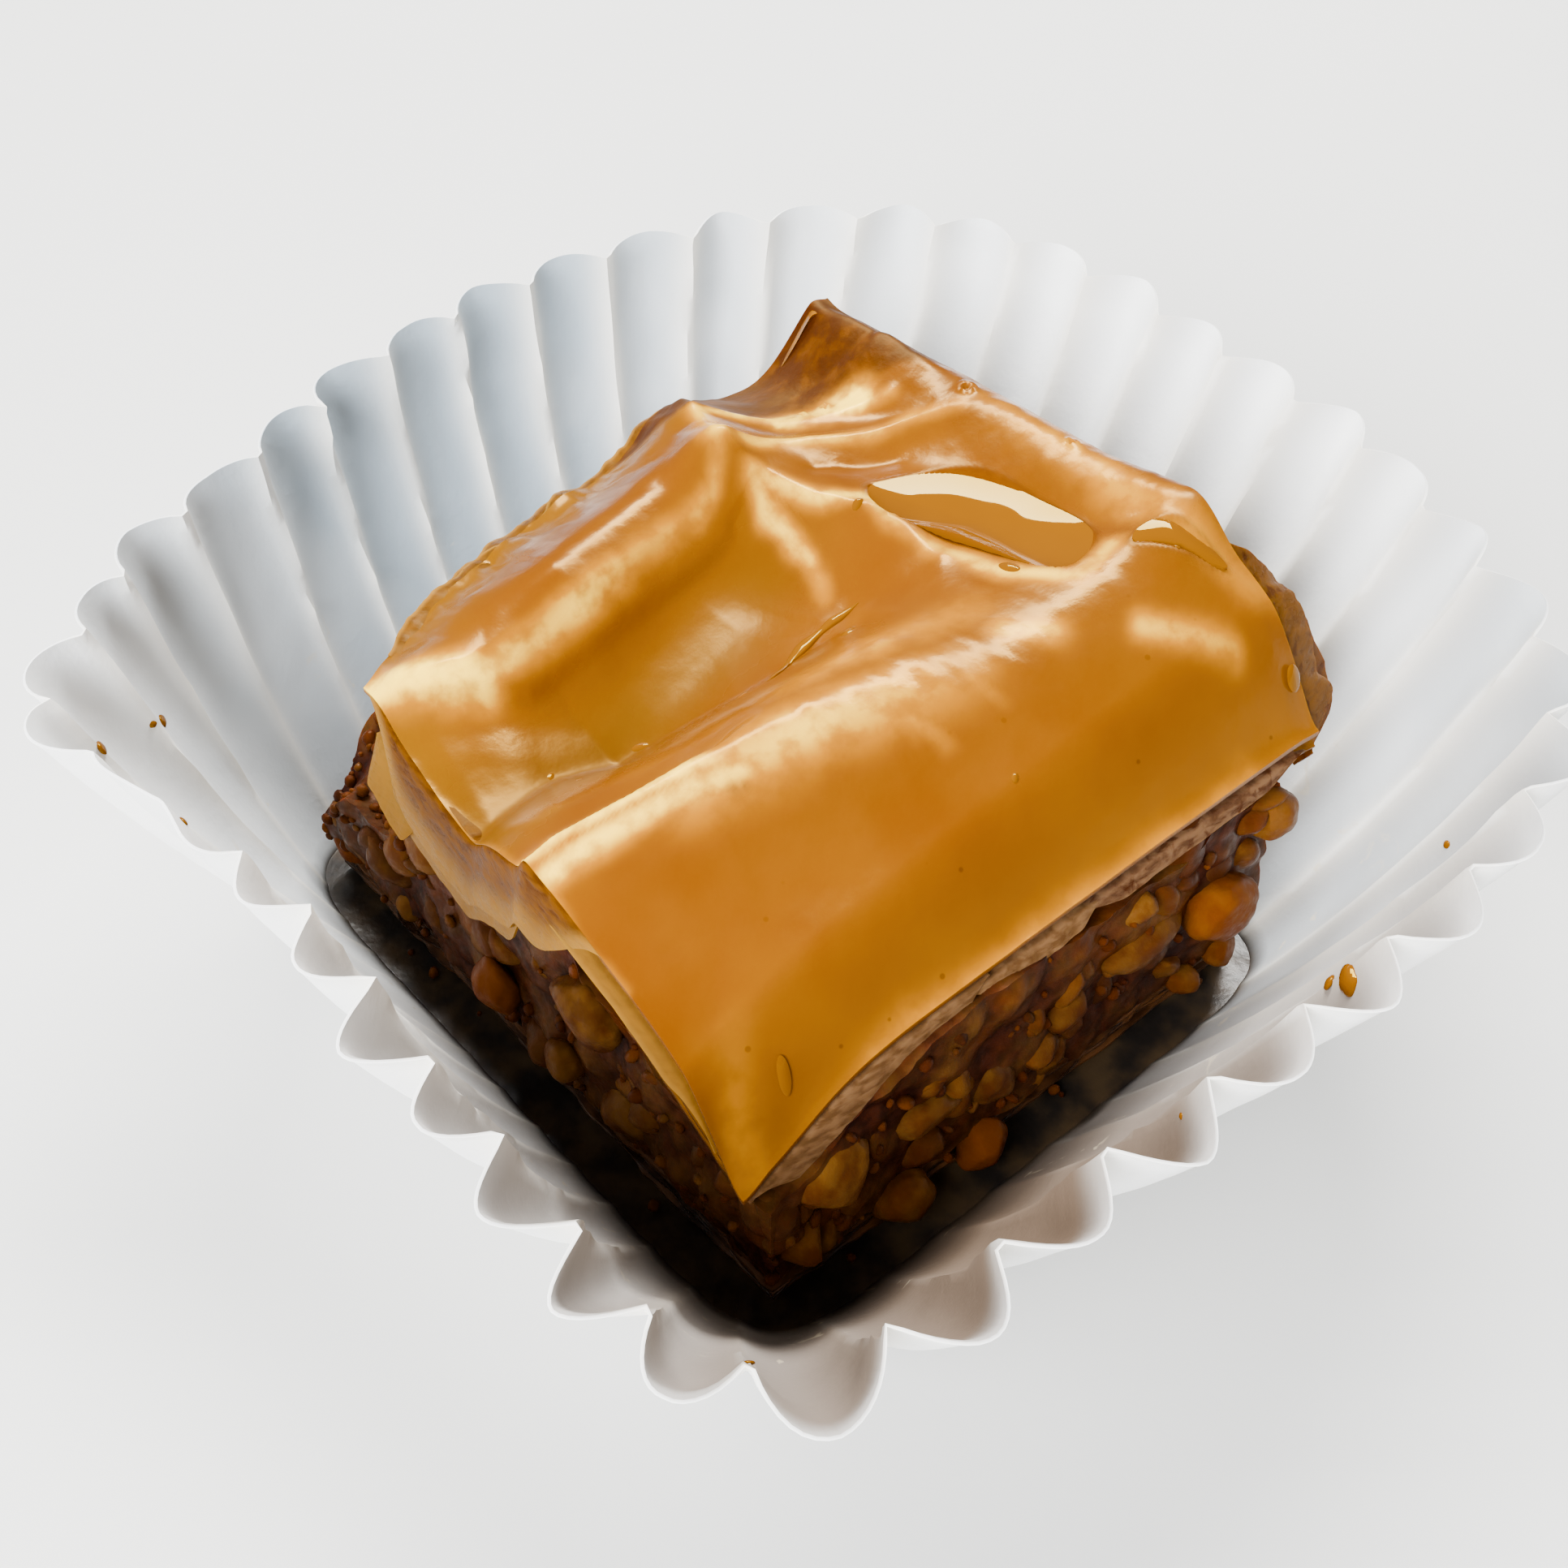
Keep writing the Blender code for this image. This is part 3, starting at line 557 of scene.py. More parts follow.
# ---- numbers ------------------------------------------------------------------------------
def smooth_step(x):
    x = np.clip(x, 0.0, 1.0)
    return x * x * (3.0 - 2.0 * x)


def bell(distance, half_width):
    """1 at no distance, half at the half width, and almost nothing at twice that."""
    return 0.5 ** ((distance / half_width) ** 2)


def ridge(distance, half_width):
    """Like a bell, with a narrow rounded crest and wider skirts."""
    return np.exp(0.25 - np.sqrt((distance / half_width) ** 2 + 0.0625))


def turn_between(angle, other):
    """Difference of two directions in degrees, between -180 and 180."""
    return (angle - other + 180.0) % 360.0 - 180.0


def distance_to_stretch(x, y, start, end):
    """Distance in plan to a straight stretch, and the share of it where the nearest point is."""
    (ax, ay), (bx, by) = start[:2], end[:2]
    along = ((x - ax) * (bx - ax) + (y - ay) * (by - ay)) / ((bx - ax) ** 2 + (by - ay) ** 2)
    along = np.clip(along, 0.0, 1.0)
    return np.hypot(x - ax - along * (bx - ax), y - ay - along * (by - ay)), along


def nearest_on_line(x, y, line):
    """Distance in plan from places to a line of (x, y, value) points, and the value nearest."""
    nearest = np.full(np.shape(x), np.inf)
    value = np.zeros(np.shape(x))
    for start, end in zip(line, line[1:]):
        distance, along = distance_to_stretch(x, y, start, end)
        closer = distance < nearest
        nearest = np.where(closer, distance, nearest)
        value = np.where(closer, start[2] + (end[2] - start[2]) * along, value)
    return nearest, value


def scrambled(cell, seed):
    """A fixed random number from 0 to 1 for each whole-numbered place."""
    mixed = seed * SCATTER[3]
    for axis in range(3):
        mixed = mixed + cell[..., axis] * SCATTER[axis]
    mixed = mixed & 0xFFFFFFFF
    mixed = ((mixed ^ (mixed >> 13)) * SCATTER_AGAIN[0]) & 0xFFFFFFFF
    mixed = ((mixed ^ (mixed >> 15)) * SCATTER_AGAIN[1]) & 0xFFFFFFFF
    return ((mixed ^ (mixed >> 16)) & 0xFFFFF) / 0xFFFFF


def ripple(points, size, seed=0):
    """Smooth random values from -1 to 1 that change over a length."""
    scaled = np.asarray(points, dtype=float) / size
    cell = np.floor(scaled).astype(np.int64)
    share = smooth_step(scaled - cell)
    total = 0.0
    for corner in np.ndindex(2, 2, 2):
        weight = np.prod(np.where(np.array(corner) == 1, share, 1.0 - share), axis=-1)
        total = total + weight * scrambled(cell + np.array(corner), seed)
    return 2.0 * total - 1.0


def ripples(points, size, seed=0, layers=3):
    """Ripples on ripples, each half the size and height of the last."""
    total = 0.0
    for layer in range(layers):
        total = total + ripple(points, size / 2 ** layer, seed + layer) / 2 ** layer
    return total / (2.0 - 0.5 ** (layers - 1))


def pebbles(points, size, seed=0):
    """Distance from places to the nearest of scattered centres, in shares of their spacing."""
    scaled = np.asarray(points, dtype=float) / size
    cell = np.floor(scaled).astype(np.int64)
    nearest = np.full(scaled.shape[:-1], np.inf)
    for step in np.ndindex(3, 3, 3):
        near_cell = cell + np.array(step) - 1
        centre = np.stack([scrambled(near_cell, seed + axis) for axis in range(3)], -1) + near_cell
        nearest = np.minimum(nearest, np.linalg.norm(scaled - centre, axis=-1))
    return nearest


def plan_points(x, y, z=0.0):
    return np.stack(np.broadcast_arrays(x, y, z), -1).astype(float)


def smooth_loop(corners, steps):
    """A closed curve through corner points, with a number of steps between each two."""
    corners = np.array(corners, dtype=float)
    share = np.linspace(0.0, 1.0, steps, endpoint=False)[:, None]
    curve = []
    for i in range(len(corners)):
        before, start, end, after = (corners[(i + k) % len(corners)] for k in (-1, 0, 1, 2))
        curve.append(start + 0.5 * share * (end - before + share * (
            2.0 * before - 5.0 * start + 4.0 * end - after + share * (3.0 * (start - end) + after - before))))
    return np.concatenate(curve)


# ---- meshes -------------------------------------------------------------------------------
def band(rows, count, closed=True):
    """Quads between rows of count points each. A closed band joins each row's ends."""
    row, step = np.meshgrid(np.arange(rows - 1), np.arange(count if closed else count - 1), indexing="ij")
    after = (step + 1) % count
    corners = (row * count + step, row * count + after, (row + 1) * count + after, (row + 1) * count + step)
    return np.stack(corners, -1).reshape(-1, 4).tolist()


def fan(first, count, middle):
    """Triangles from a ring of points to one in its middle."""
    return [(first + i, first + (i + 1) % count, middle) for i in range(count)]


def closed_rows(rows):
    """Points and faces of a body made of closed rows of points, ended by a middle point each."""
    rows = np.asarray(rows)
    total, count = rows.shape[:2]
    points = np.concatenate([rows.reshape(-1, 3), rows[:1].mean(axis=1), rows[-1:].mean(axis=1)])
    faces = band(total, count) + fan(0, count, total * count)
    faces += fan((total - 1) * count, count, total * count + 1)
    return points, faces


def rows_marks(marks):
    """Values for closed_rows' points, from values for its rows."""
    marks = np.asarray(marks, dtype=float)
    return np.concatenate([marks.reshape(-1), [marks[0].mean(), marks[-1].mean()]])


def grid_normals(grid):
    """Unit normals of an open grid of points."""
    along = np.gradient(grid, axis=0)
    across = np.gradient(grid, axis=1)
    normals = np.cross(along, across)
    return normals / np.maximum(np.linalg.norm(normals, axis=-1, keepdims=True), 1e-9)


def thin_sheet(grid, thickness):
    """Points and faces of a closed sheet of even thickness round an open grid of points."""
    rows, count = grid.shape[:2]
    offset = grid_normals(grid) * thickness / 2.0
    points = np.concatenate([(grid + offset).reshape(-1, 3), (grid - offset).reshape(-1, 3)])
    upper = band(rows, count, closed=False)
    faces = upper + [tuple(i + rows * count for i in reversed(face)) for face in upper]
    border = list(range(count))
    border += [row * count + count - 1 for row in range(1, rows)]
    border += [(rows - 1) * count + i for i in range(count - 2, -1, -1)]
    border += [row * count for row in range(rows - 2, 0, -1)]
    for here, after in zip(border, border[1:] + border[:1]):
        faces.append((here, after, after + rows * count, here + rows * count))
    return points, faces


def joined(bodies):
    """One set of points, faces and marks from several (points, faces, marks)."""
    points, faces, marks, first = [], [], {}, 0
    for body_points, body_faces, body_marks in bodies:
        points.append(body_points)
        faces += [tuple(i + first for i in face) for face in body_faces]
        first += len(body_points)
        for mark, values in body_marks.items():
            marks.setdefault(mark, []).append(np.broadcast_to(values, len(body_points)))
    return np.concatenate(points), faces, {mark: np.concatenate(values) for mark, values in marks.items()}


def make_piece(name, points, faces, marks, material, slot, *stands_for, sharp_angle=SHARP_ANGLE):
    """A named mesh piece from millimetre points, with a number at each point for each mark."""
    mesh = bpy.data.meshes.new(name)
    mesh.from_pydata(((points + FOOD_SHIFT) * MM).tolist(), [], faces)
    mesh.update()
    for mark, values in marks.items():
        attribute = mesh.attributes.new(mark, "FLOAT", "POINT")
        attribute.data.foreach_set("value", np.asarray(values, dtype=np.float32))
    solid = bmesh.new()
    solid.from_mesh(mesh)
    bmesh.ops.recalc_face_normals(solid, faces=solid.faces[:])
    solid.to_mesh(mesh)
    solid.free()
    mesh.shade_smooth()
    mesh.set_sharp_from_angle(angle=math.radians(sharp_angle))
    mesh.materials.append(material)
    piece = bpy.data.objects.new(name, mesh)
    bpy.context.scene.collection.objects.link(piece)
    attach(piece, "root")
    if stands_for:
        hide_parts(*stands_for)
    return piece


# ---- finishes -----------------------------------------------------------------------------
class Finish:
    """A Principled material, built up node by node."""

    def __init__(self, name, **constants):
        self.material = bpy.data.materials.new(name)
        self.material.use_nodes = True
        self.nodes = self.material.node_tree.nodes
        self.link = self.material.node_tree.links.new
        self.shader = self.nodes["Principled BSDF"]
        for socket, value in constants.items():
            self.shader.inputs[socket.replace("_", " ")].default_value = value
        self.place = self.nodes.new("ShaderNodeTexCoord").outputs["Object"]
        self.normal = None

    def feed(self, socket, value):
        """Put a number, a colour or another node's output into a socket."""
        if isinstance(value, bpy.types.NodeSocket):
            self.link(value, socket)
        elif isinstance(value, tuple):
            socket.default_value = (*value, 1.0)
        else:
            socket.default_value = value

    def mark(self, name):
        """The number that the mesh carries at each point under this name."""
        node = self.nodes.new("ShaderNodeAttribute")
        node.attribute_name = name
        return node.outputs["Fac"]

    def grain(self, size, detail=3.0, distortion=0.0, stretch=(1.0, 1.0, 1.0)):
        """Noise from 0 to 1 with features of a size in millimetres."""
        mapping = self.nodes.new("ShaderNodeMapping")
        mapping.inputs["Scale"].default_value = stretch
        self.link(self.place, mapping.inputs["Vector"])
        node = self.nodes.new("ShaderNodeTexNoise")
        self.link(mapping.outputs["Vector"], node.inputs["Vector"])
        node.inputs["Scale"].default_value = 1.0 / (size * MM)
        node.inputs["Detail"].default_value = detail
        node.inputs["Distortion"].default_value = distortion
        return node.outputs["Fac"]

    def spots(self, size):
        """Distance to scattered spots with a spacing in millimetres, in shares of it."""
        node = self.nodes.new("ShaderNodeTexVoronoi")
        self.link(self.place, node.inputs["Vector"])
        node.inputs["Scale"].default_value = 1.0 / (size * MM)
        return node.outputs["Distance"]

    def sum(self, kind, first, second):
        """Arithmetic on two numbers or outputs."""
        node = self.nodes.new("ShaderNodeMath")
        node.operation = kind
        node.use_clamp = True
        self.feed(node.inputs[0], first)
        self.feed(node.inputs[1], second)
        return node.outputs[0]

    def spread(self, value, low, high, start=0.0, end=1.0):
        """Map low..high to start..end, smoothly and no further."""
        node = self.nodes.new("ShaderNodeMapRange")
        node.interpolation_type = "SMOOTHSTEP"
        self.feed(node.inputs["Value"], value)
        for socket, number in (("From Min", low), ("From Max", high), ("To Min", start), ("To Max", end)):
            node.inputs[socket].default_value = number
        return node.outputs["Result"]

    def mix(self, share, first, second):
        """A colour between two, by a share from 0 to 1."""
        node = self.nodes.new("ShaderNodeMix")
        node.data_type = "RGBA"
        self.feed(node.inputs[0], share)
        self.feed(node.inputs[6], first)
        self.feed(node.inputs[7], second)
        return node.outputs[2]

    def mix_number(self, share, first, second):
        """A number between two, by a share from 0 to 1."""
        node = self.nodes.new("ShaderNodeMix")
        self.feed(node.inputs[0], share)
        self.feed(node.inputs[2], first)
        self.feed(node.inputs[3], second)
        return node.outputs[0]

    def bump(self, height, millimetres):
        """Add a bump as high as this to the ones before it."""
        node = self.nodes.new("ShaderNodeBump")
        node.inputs["Distance"].default_value = millimetres * MM
        self.link(height, node.inputs["Height"])
        if self.normal is not None:
            self.link(self.normal, node.inputs["Normal"])
        self.normal = node.outputs["Normal"]

    def finish(self, colour, roughness):
        self.feed(self.shader.inputs["Base Color"], colour)
        self.feed(self.shader.inputs["Roughness"], roughness)
        if self.normal is not None:
            self.link(self.normal, self.shader.inputs["Normal"])
        return self.material


def paper_finish():
    """White greaseproof paper: faint fibres, painted highlights along the folds, painted shade beside them
    and on the wall, dark where syrup soaked it.
    """
    f = Finish("white_paper", Specular_IOR_Level=0.3)
    cloud = f.spread(f.grain(9.0, 2.0), 0.3, 0.7, 0.0, 0.15)
    # painted cool shade inside the wall, and faint clouds in the paper
    paper = f.mix(f.sum("ADD", cloud, f.mark("cool_shade")), PAPER_WHITE, PAPER_COOL_SHADE)
    # painted shade on one side of each flute
    paper = f.mix(f.sum("MULTIPLY", f.mark("groove"), 0.8), paper, PAPER_FLUTE_SHADE)
    # painted warm shade low on the wall round the near corner
    paper = f.mix(f.mark("warm_shade"), paper, PAPER_WARM_SHADE)
    # painted highlight along the inward folds, left off where the warm shade is
    lit_fold = f.sum("MULTIPLY", f.mark("fold"), 0.75)
    paper = f.mix(f.sum("MULTIPLY", lit_fold, f.sum("SUBTRACT", 1.0, f.mark("warm_shade"))), paper, PAPER_FOLD_HIGHLIGHT)
    stain = f.spread(f.grain(2.6, 3.0, 1.5), 0.66, 0.74, 0.0, 0.5)
    paper = f.mix(f.sum("MULTIPLY", stain, f.mark("near_food")), paper, PAPER_STAIN)
    soaked = f.mix(f.spread(f.grain(3.0, 4.0), 0.35, 0.65), SOAKED_DARK, SOAKED_BROWN)
    soak = f.mark("soak")
    colour = f.mix(soak, paper, soaked)
    fibres = f.grain(0.35, 4.0)
    f.bump(fibres, 0.02)
    f.bump(f.grain(2.2, 3.0), 0.08)
    return f.finish(colour, f.spread(soak, 0.0, 1.0, DRY_PAPER_ROUGHNESS, SOAKED_PAPER_ROUGHNESS))


def sheet_finish():
    """Baked pastry under a syrup glaze: amber, golden, cream and browned by the sheet's marks, with painted
    highlights and painted shade among them.
    """
    f = Finish(
        "glazed_sheet", Subsurface_Weight=0.12, Subsurface_Scale=1.0 * MM, Subsurface_Radius=PASTRY_SCATTER,
        IOR=1.45, Specular_IOR_Level=0.5, Specular_Tint=PASTRY_TINT,
    )
    uneven = f.spread(f.grain(7.0, 2.0), 0.3, 0.7)
    colour = f.mix(uneven, AMBER, AMBER_LIGHT)
    colour = f.mix(f.mark("gold"), colour, GOLD)
    # painted shade in the hollow
    colour = f.mix(f.mark("calm"), colour, HOLLOW_SHADE)
    mottle = f.grain(1.4, 4.0)
    toast = f.sum("MULTIPLY", f.mark("toast"), f.spread(mottle, 0.3, 0.62, 0.45, 1.0))
    colour = f.mix(toast, colour, TOAST)
    # painted shade on the sides of the stack, most on the front right
    layer = f.mix(f.mark("painted_shade"), LAYER_TAN, LAYER_SHADE)
    colour = f.mix(f.mark("layer"), colour, layer)
    streak = f.grain(1.6, 4.0)
    # pale: paler pastry and leaf edges, and painted highlights on the glaze
    pale = f.sum("MULTIPLY", f.mark("pale"), f.spread(streak, 0.3, 0.62, 0.7, 1.0))
    colour = f.mix(f.spread(pale, 0.0, 0.55), colour, GLOW)
    colour = f.mix(f.spread(pale, 0.35, 1.0), colour, CREAM)
    patches = f.sum("MULTIPLY", f.mark("char"), f.spread(f.grain(1.7, 4.0), 0.4, 0.56, 0.5, 1.0))
    colour = f.mix(patches, colour, CHAR)
    specks = f.spread(f.spots(2.3), 0.05, 0.09, 0.5, 0.0)
    colour = f.mix(f.sum("MULTIPLY", specks, f.mark("specks")), colour, CHAR)
    f.bump(f.grain(0.9, 3.0), 0.025)
    f.bump(f.sum("MULTIPLY", mottle, f.mark("toast")), 0.1)
    dull = f.spread(f.grain(2.5, 3.0), 0.3, 0.7, *SHEET_ROUGHNESS)
    dull = f.mix_number(f.mark("toast"), dull, BROWNED_ROUGHNESS)
    dull = f.mix_number(f.mark("calm"), dull, BROWNED_ROUGHNESS)
    return f.finish(colour, f.mix_number(f.mark("char"), dull, CHARRED_ROUGHNESS))


def leaf_finish():
    """Thin pastry leaves seen at their edges: translucent, pale to tan, browned towards the ends."""
    f = Finish(
        "pastry_leaves", Subsurface_Weight=0.15, Subsurface_Scale=1.0 * MM, Subsurface_Radius=PASTRY_SCATTER,
        IOR=1.4, Specular_IOR_Level=0.12, Specular_Tint=PASTRY_TINT,
    )
    streak = f.grain(1.1, 4.0, 0.3, (1.0, 1.0, 3.0))
    colour = f.mix(f.spread(streak, 0.35, 0.65), LEAF_TAN, LEAF_PALE)
    colour = f.mix(f.mark("tone"), LEAF_BROWN, colour)
    colour = f.mix(f.mark("pale"), colour, LEAF_WHITE)
    # painted shade on the front right leaves
    shaded_leaf = f.mix(f.spread(streak, 0.35, 0.65), LEAF_SHADE, LEAF_SHADE_PALE)
    colour = f.mix(f.sum("MULTIPLY", f.mark("painted_shade"), 0.85), colour, shaded_leaf)
    spots = f.spread(f.grain(0.8, 4.0, 0.5), 0.52, 0.68, 0.0, 0.8)
    colour = f.mix(f.sum("MULTIPLY", spots, f.mark("toast")), colour, CHAR)
    f.bump(streak, 0.05)
    return f.finish(colour, f.spread(streak, 0.3, 0.7, *LEAF_ROUGHNESS))


def nut_finish():
    """Walnut pieces in dark spiced syrup: purple-brown crumb to translucent amber, wet all over."""
    f = Finish(
        "chopped_walnut", Subsurface_Weight=0.15, Subsurface_Scale=0.8 * MM, Subsurface_Radius=NUT_SCATTER,
        IOR=1.4, Specular_IOR_Level=0.12, Specular_Tint=NUT_TINT,
    )
    crumb = f.grain(0.9, 4.0)
    dark = f.mix(f.spread(crumb, 0.35, 0.65), NUT_DARK, NUT_BROWN)
    meat = f.mix(f.spread(f.grain(1.6, 3.0), 0.35, 0.65), NUT_AMBER, NUT_PALE)
    colour = f.mix(f.mark("tone"), dark, meat)
    colour = f.mix(f.sum("MULTIPLY", f.mark("orange"), 0.8), colour, NUT_ORANGE)
    colour = f.mix(f.sum("MULTIPLY", f.mark("skin"), f.spread(crumb, 0.3, 0.6, 0.4, 1.0)), colour, NUT_SKIN)
    f.bump(crumb, 0.11)
    return f.finish(colour, f.spread(f.grain(0.6, 2.0), 0.3, 0.7, *NUT_ROUGHNESS))


def base_finish():
    """Bottom sheets soaked brown with syrup."""
    f = Finish("soaked_sheets", Specular_IOR_Level=0.4)
    streak = f.grain(1.5, 4.0, 0.3, (0.5, 0.5, 4.0))
    colour = f.mix(f.spread(streak, 0.35, 0.65), BASE_DARK, BASE_TAN)
    f.bump(streak, 0.06)
    return f.finish(colour, f.spread(streak, 0.3, 0.7, *LEAF_ROUGHNESS))


def syrup_finish():
    """Clear amber syrup."""
    f = Finish("syrup", IOR=1.45, Specular_IOR_Level=0.5, Specular_Tint=SYRUP_TINT)
    colour = f.mix(f.grain(4.0, 2.0), SYRUP, SYRUP_DEEP)
    return f.finish(colour, f.spread(f.grain(6.0, 2.0), 0.3, 0.7, *SYRUP_ROUGHNESS))


def floor_finish():
    """Plain pale tabletop."""
    f = Finish("pale_floor", Specular_IOR_Level=0.3)
    colour = f.mix(f.grain(60.0, 2.0), FLOOR_PALE, FLOOR_PALER)
    f.bump(f.grain(1.5, 3.0), 0.02)
    return f.finish(colour, f.spread(f.grain(20.0, 2.0), 0.3, 0.7, *FLOOR_ROUGHNESS))


# ---- paper case ---------------------------------------------------------------------------
def outline_reach(turn, half, squareness):
    """Distance from the middle to a superellipse, in directions given in degrees."""
    across = np.abs(np.cos(np.radians(turn))) / half[0]
    along = np.abs(np.sin(np.radians(turn))) / half[1]
    return (across ** squareness + along ** squareness) ** (-1.0 / squareness)


def floor_places(turn):
    reach = outline_reach(turn, FLOOR_HALF, FLOOR_SQUARENESS)
    return plan_points(reach * np.cos(np.radians(turn)), reach * np.sin(np.radians(turn)))


def rim_places(turn):
    reach = outline_reach(turn, RIM_HALF, RIM_SQUARENESS)
    for _, middle, spread, extra in RIM_REACHES:
        reach = reach + extra * bell(turn_between(turn, middle), spread)
    x = RIM_CENTRE_X + reach * np.cos(np.radians(turn))
    return plan_points(x, reach * np.sin(np.radians(turn)), RIM_HEIGHT)


def evenly_spaced(places_at, steps):
    """Points that cut each quarter of an outline, corner to corner, into equal lengths."""
    points = []
    for quarter, flutes in enumerate(FLUTES):
        turns = NEAR_TURN + 90.0 * (quarter + np.linspace(0.0, 1.0, OUTLINE_SAMPLES + 1))
        lengths = np.linalg.norm(np.diff(places_at(turns), axis=0), axis=1)
        lengths = np.concatenate([[0.0], np.cumsum(lengths)])
        wanted = lengths[-1] * np.arange(flutes * steps) / (flutes * steps)
        points.append(places_at(np.interp(wanted, lengths, turns)))
    return np.concatenate(points)


def level_normals(loop, reach):
    """Level unit normals of an anticlockwise loop, over a reach of steps each way."""
    along = np.roll(loop, -reach, axis=0) - np.roll(loop, reach, axis=0)
    normals = np.stack([along[:, 1], -along[:, 0], np.zeros(len(loop))], -1)
    return normals / np.linalg.norm(normals, axis=1, keepdims=True)


def case_wall(steps, heights):
    """Outer face of the wall, in rows of points from the floor's crease to the rim, how near
    each point is to an inward fold, for a painted highlight, and how far it is into a flute's shaded side,
    for painted shade."""
    floor = evenly_spaced(floor_places, steps)
    rim = evenly_spaced(rim_places, steps)
    flute = np.arange(len(rim)) / steps
    turn = np.degrees(np.arctan2(rim[:, 1], rim[:, 0] - RIM_CENTRE_X))
    nearness = np.maximum(np.cos(np.radians(turn - NEAR_TURN)), 0.0) ** 2
    number = np.arange(-1, sum(FLUTES) + 1)
    uneven = np.interp(flute - 0.5, number, np.sin(FLUTE_UNEVEN_TURN * number + FLUTE_UNEVEN_START))
    rim_depth = (FLUTE_DEPTH_RIM + FLUTE_DEPTH_NEAR * nearness) * (1.0 + FLUTE_UNEVENNESS * uneven)
    flatness = FLAT_PANEL_FLATNESS * bell(turn_between(turn, FLAT_PANEL_TURN), FLAT_PANEL_SPREAD)
    flat_lobe = bell(turn_between(turn, FLAT_LOBE_TURN), FLAT_LOBE_SPREAD)
    power = 1.0 + (FLAT_LOBE_POWER - 1.0) * flat_lobe
    floor_out = level_normals(floor, round(OUTWARD_REACH * steps))
    rim_out = level_normals(rim, round(OUTWARD_REACH * steps))
    height = np.asarray(heights)[:, None]
    places = floor + (rim - floor) * height[..., None]
    phase = flute + FOLD_WANDER * ripple(places, FOLD_WANDER_SIZE, seed=5) * height
    lobe = np.abs(np.sin(np.pi * phase)) ** power
    depth = (CREASE_DEPTH + (rim_depth - CREASE_DEPTH) * height ** DEPTH_GROWTH) * (1.0 - flatness)
    offset = depth * (2.0 * lobe - 1.0) + WALL_BOW * 4.0 * height * (1.0 - height)
    outward = floor_out + (rim_out - floor_out) * height[..., None]
    outward /= np.linalg.norm(outward, axis=-1, keepdims=True)
    # how far into each flute's shaded side, for painted shade
    across = (phase % 1.0 - FLUTE_SHADE_START) / (1.0 - FLUTE_SHADE_START)
    groove = np.clip(across, 0.0, 1.0) ** FLUTE_SHADE_POWER
    # nearness to each inward fold, which carries a painted highlight
    fold = (1.0 - lobe) ** 2
    return places + outward * offset[..., None], fold * (1.0 - flatness), groove * (1.0 - flatness)


def closed_normals(rows):
    """Unit normals of closed rows of points, out of the band."""
    around = np.roll(rows, -1, axis=1) - np.roll(rows, 1, axis=1)
    normals = np.cross(around, np.gradient(rows, axis=0))
    return normals / np.linalg.norm(normals, axis=-1, keepdims=True)


def build_paper_case(finish):
    """The case, and its inner face with the way out of it for what lies on the paper."""
    heights = np.linspace(0.0, 1.0, WALL_ROWS)
    wall, fold, groove = case_wall(STEPS_PER_FLUTE, heights)
    normals = closed_normals(wall)
    rising = smooth_step(heights / CRINKLE_START)[:, None, None]
    wall = wall + normals * rising * (CRINKLE * ripples(wall, CRINKLE_SIZE, seed=3))[..., None]
    wall[-1, :, 2] -= RIM_UNEVENNESS * (1.0 + ripples(wall[-1], RIM_UNEVEN_SIZE, seed=8)) / 2.0
    inner = wall - normals * PAPER_THICKNESS
    inner[0, :, 2] = PAPER_THICKNESS
    shares = (np.arange(1, FLOOR_RINGS + 1) / (FLOOR_RINGS + 1))[:, None, None]
    outer_floor = wall[0] * shares
    inner_floor = inner[0] * shares
    uneven = FLOOR_UNEVENNESS * ripples(inner_floor, FLOOR_UNEVEN_SIZE, seed=6)
    inner_floor[..., 2] = PAPER_THICKNESS * (1.0 + uneven)
    rows = np.concatenate([outer_floor, wall, inner[::-1], inner_floor[::-1]])
    points, faces = closed_rows(rows)
    level = wall[..., 2] - (SOAK_LEVEL + SOAK_UNEVENNESS * ripples(wall, SOAK_PATCH, seed=12))
    soak = 1.0 - smooth_step(level / SOAK_FADE)
    near_food = 1.0 - smooth_step((wall[..., 2] - STAIN_LEVEL) / STAIN_FADE)
    turn = np.degrees(np.arctan2(wall[..., 1], wall[..., 0] - RIM_CENTRE_X))
    # painted warm shade, round the near corner and low on the wall
    low, high = WARM_SHADE_HEIGHT
    low_down = 1.0 - smooth_step((wall[..., 2] - low) / (high - low))
    warm_shade = bell(turn_between(turn, WARM_SHADE_TURN), WARM_SHADE_SPREAD) * low_down
    # painted cool shade at the back left and near the right corner
    cool_shade = bell(turn_between(turn, COOL_TURN), COOL_SPREAD)
    cool_shade = cool_shade + COOL_FRONT * bell(turn_between(turn, COOL_FRONT_TURN), COOL_FRONT_SPREAD)
    # no painted flute shade towards the back left wall
    groove = groove * (1.0 - bell(turn_between(turn, COOL_TURN), LIGHT_FOLDS_SPREAD))
    flat = np.ones(outer_floor.shape[:2])
    marks = {}
    for name, values, on_floor, outside in (
        ("soak", soak, 1.0, 1.0), ("fold", fold, 0.0, 1.0), ("near_food", near_food, 1.0, STAIN_OUTSIDE),
        ("warm_shade", warm_shade, 0.0, 0.0), ("cool_shade", cool_shade, 0.0, 0.0), ("groove", groove, 0.0, 0.0),
    ):
        values = np.broadcast_to(values, wall.shape[:2])
        marks[name] = rows_marks(np.concatenate([
            flat * on_floor, values * outside, values[::-1], flat * on_floor]))
    make_piece("paper_cup", points, faces, marks, finish, "case_paper", "paper_case")
    return inner, normals


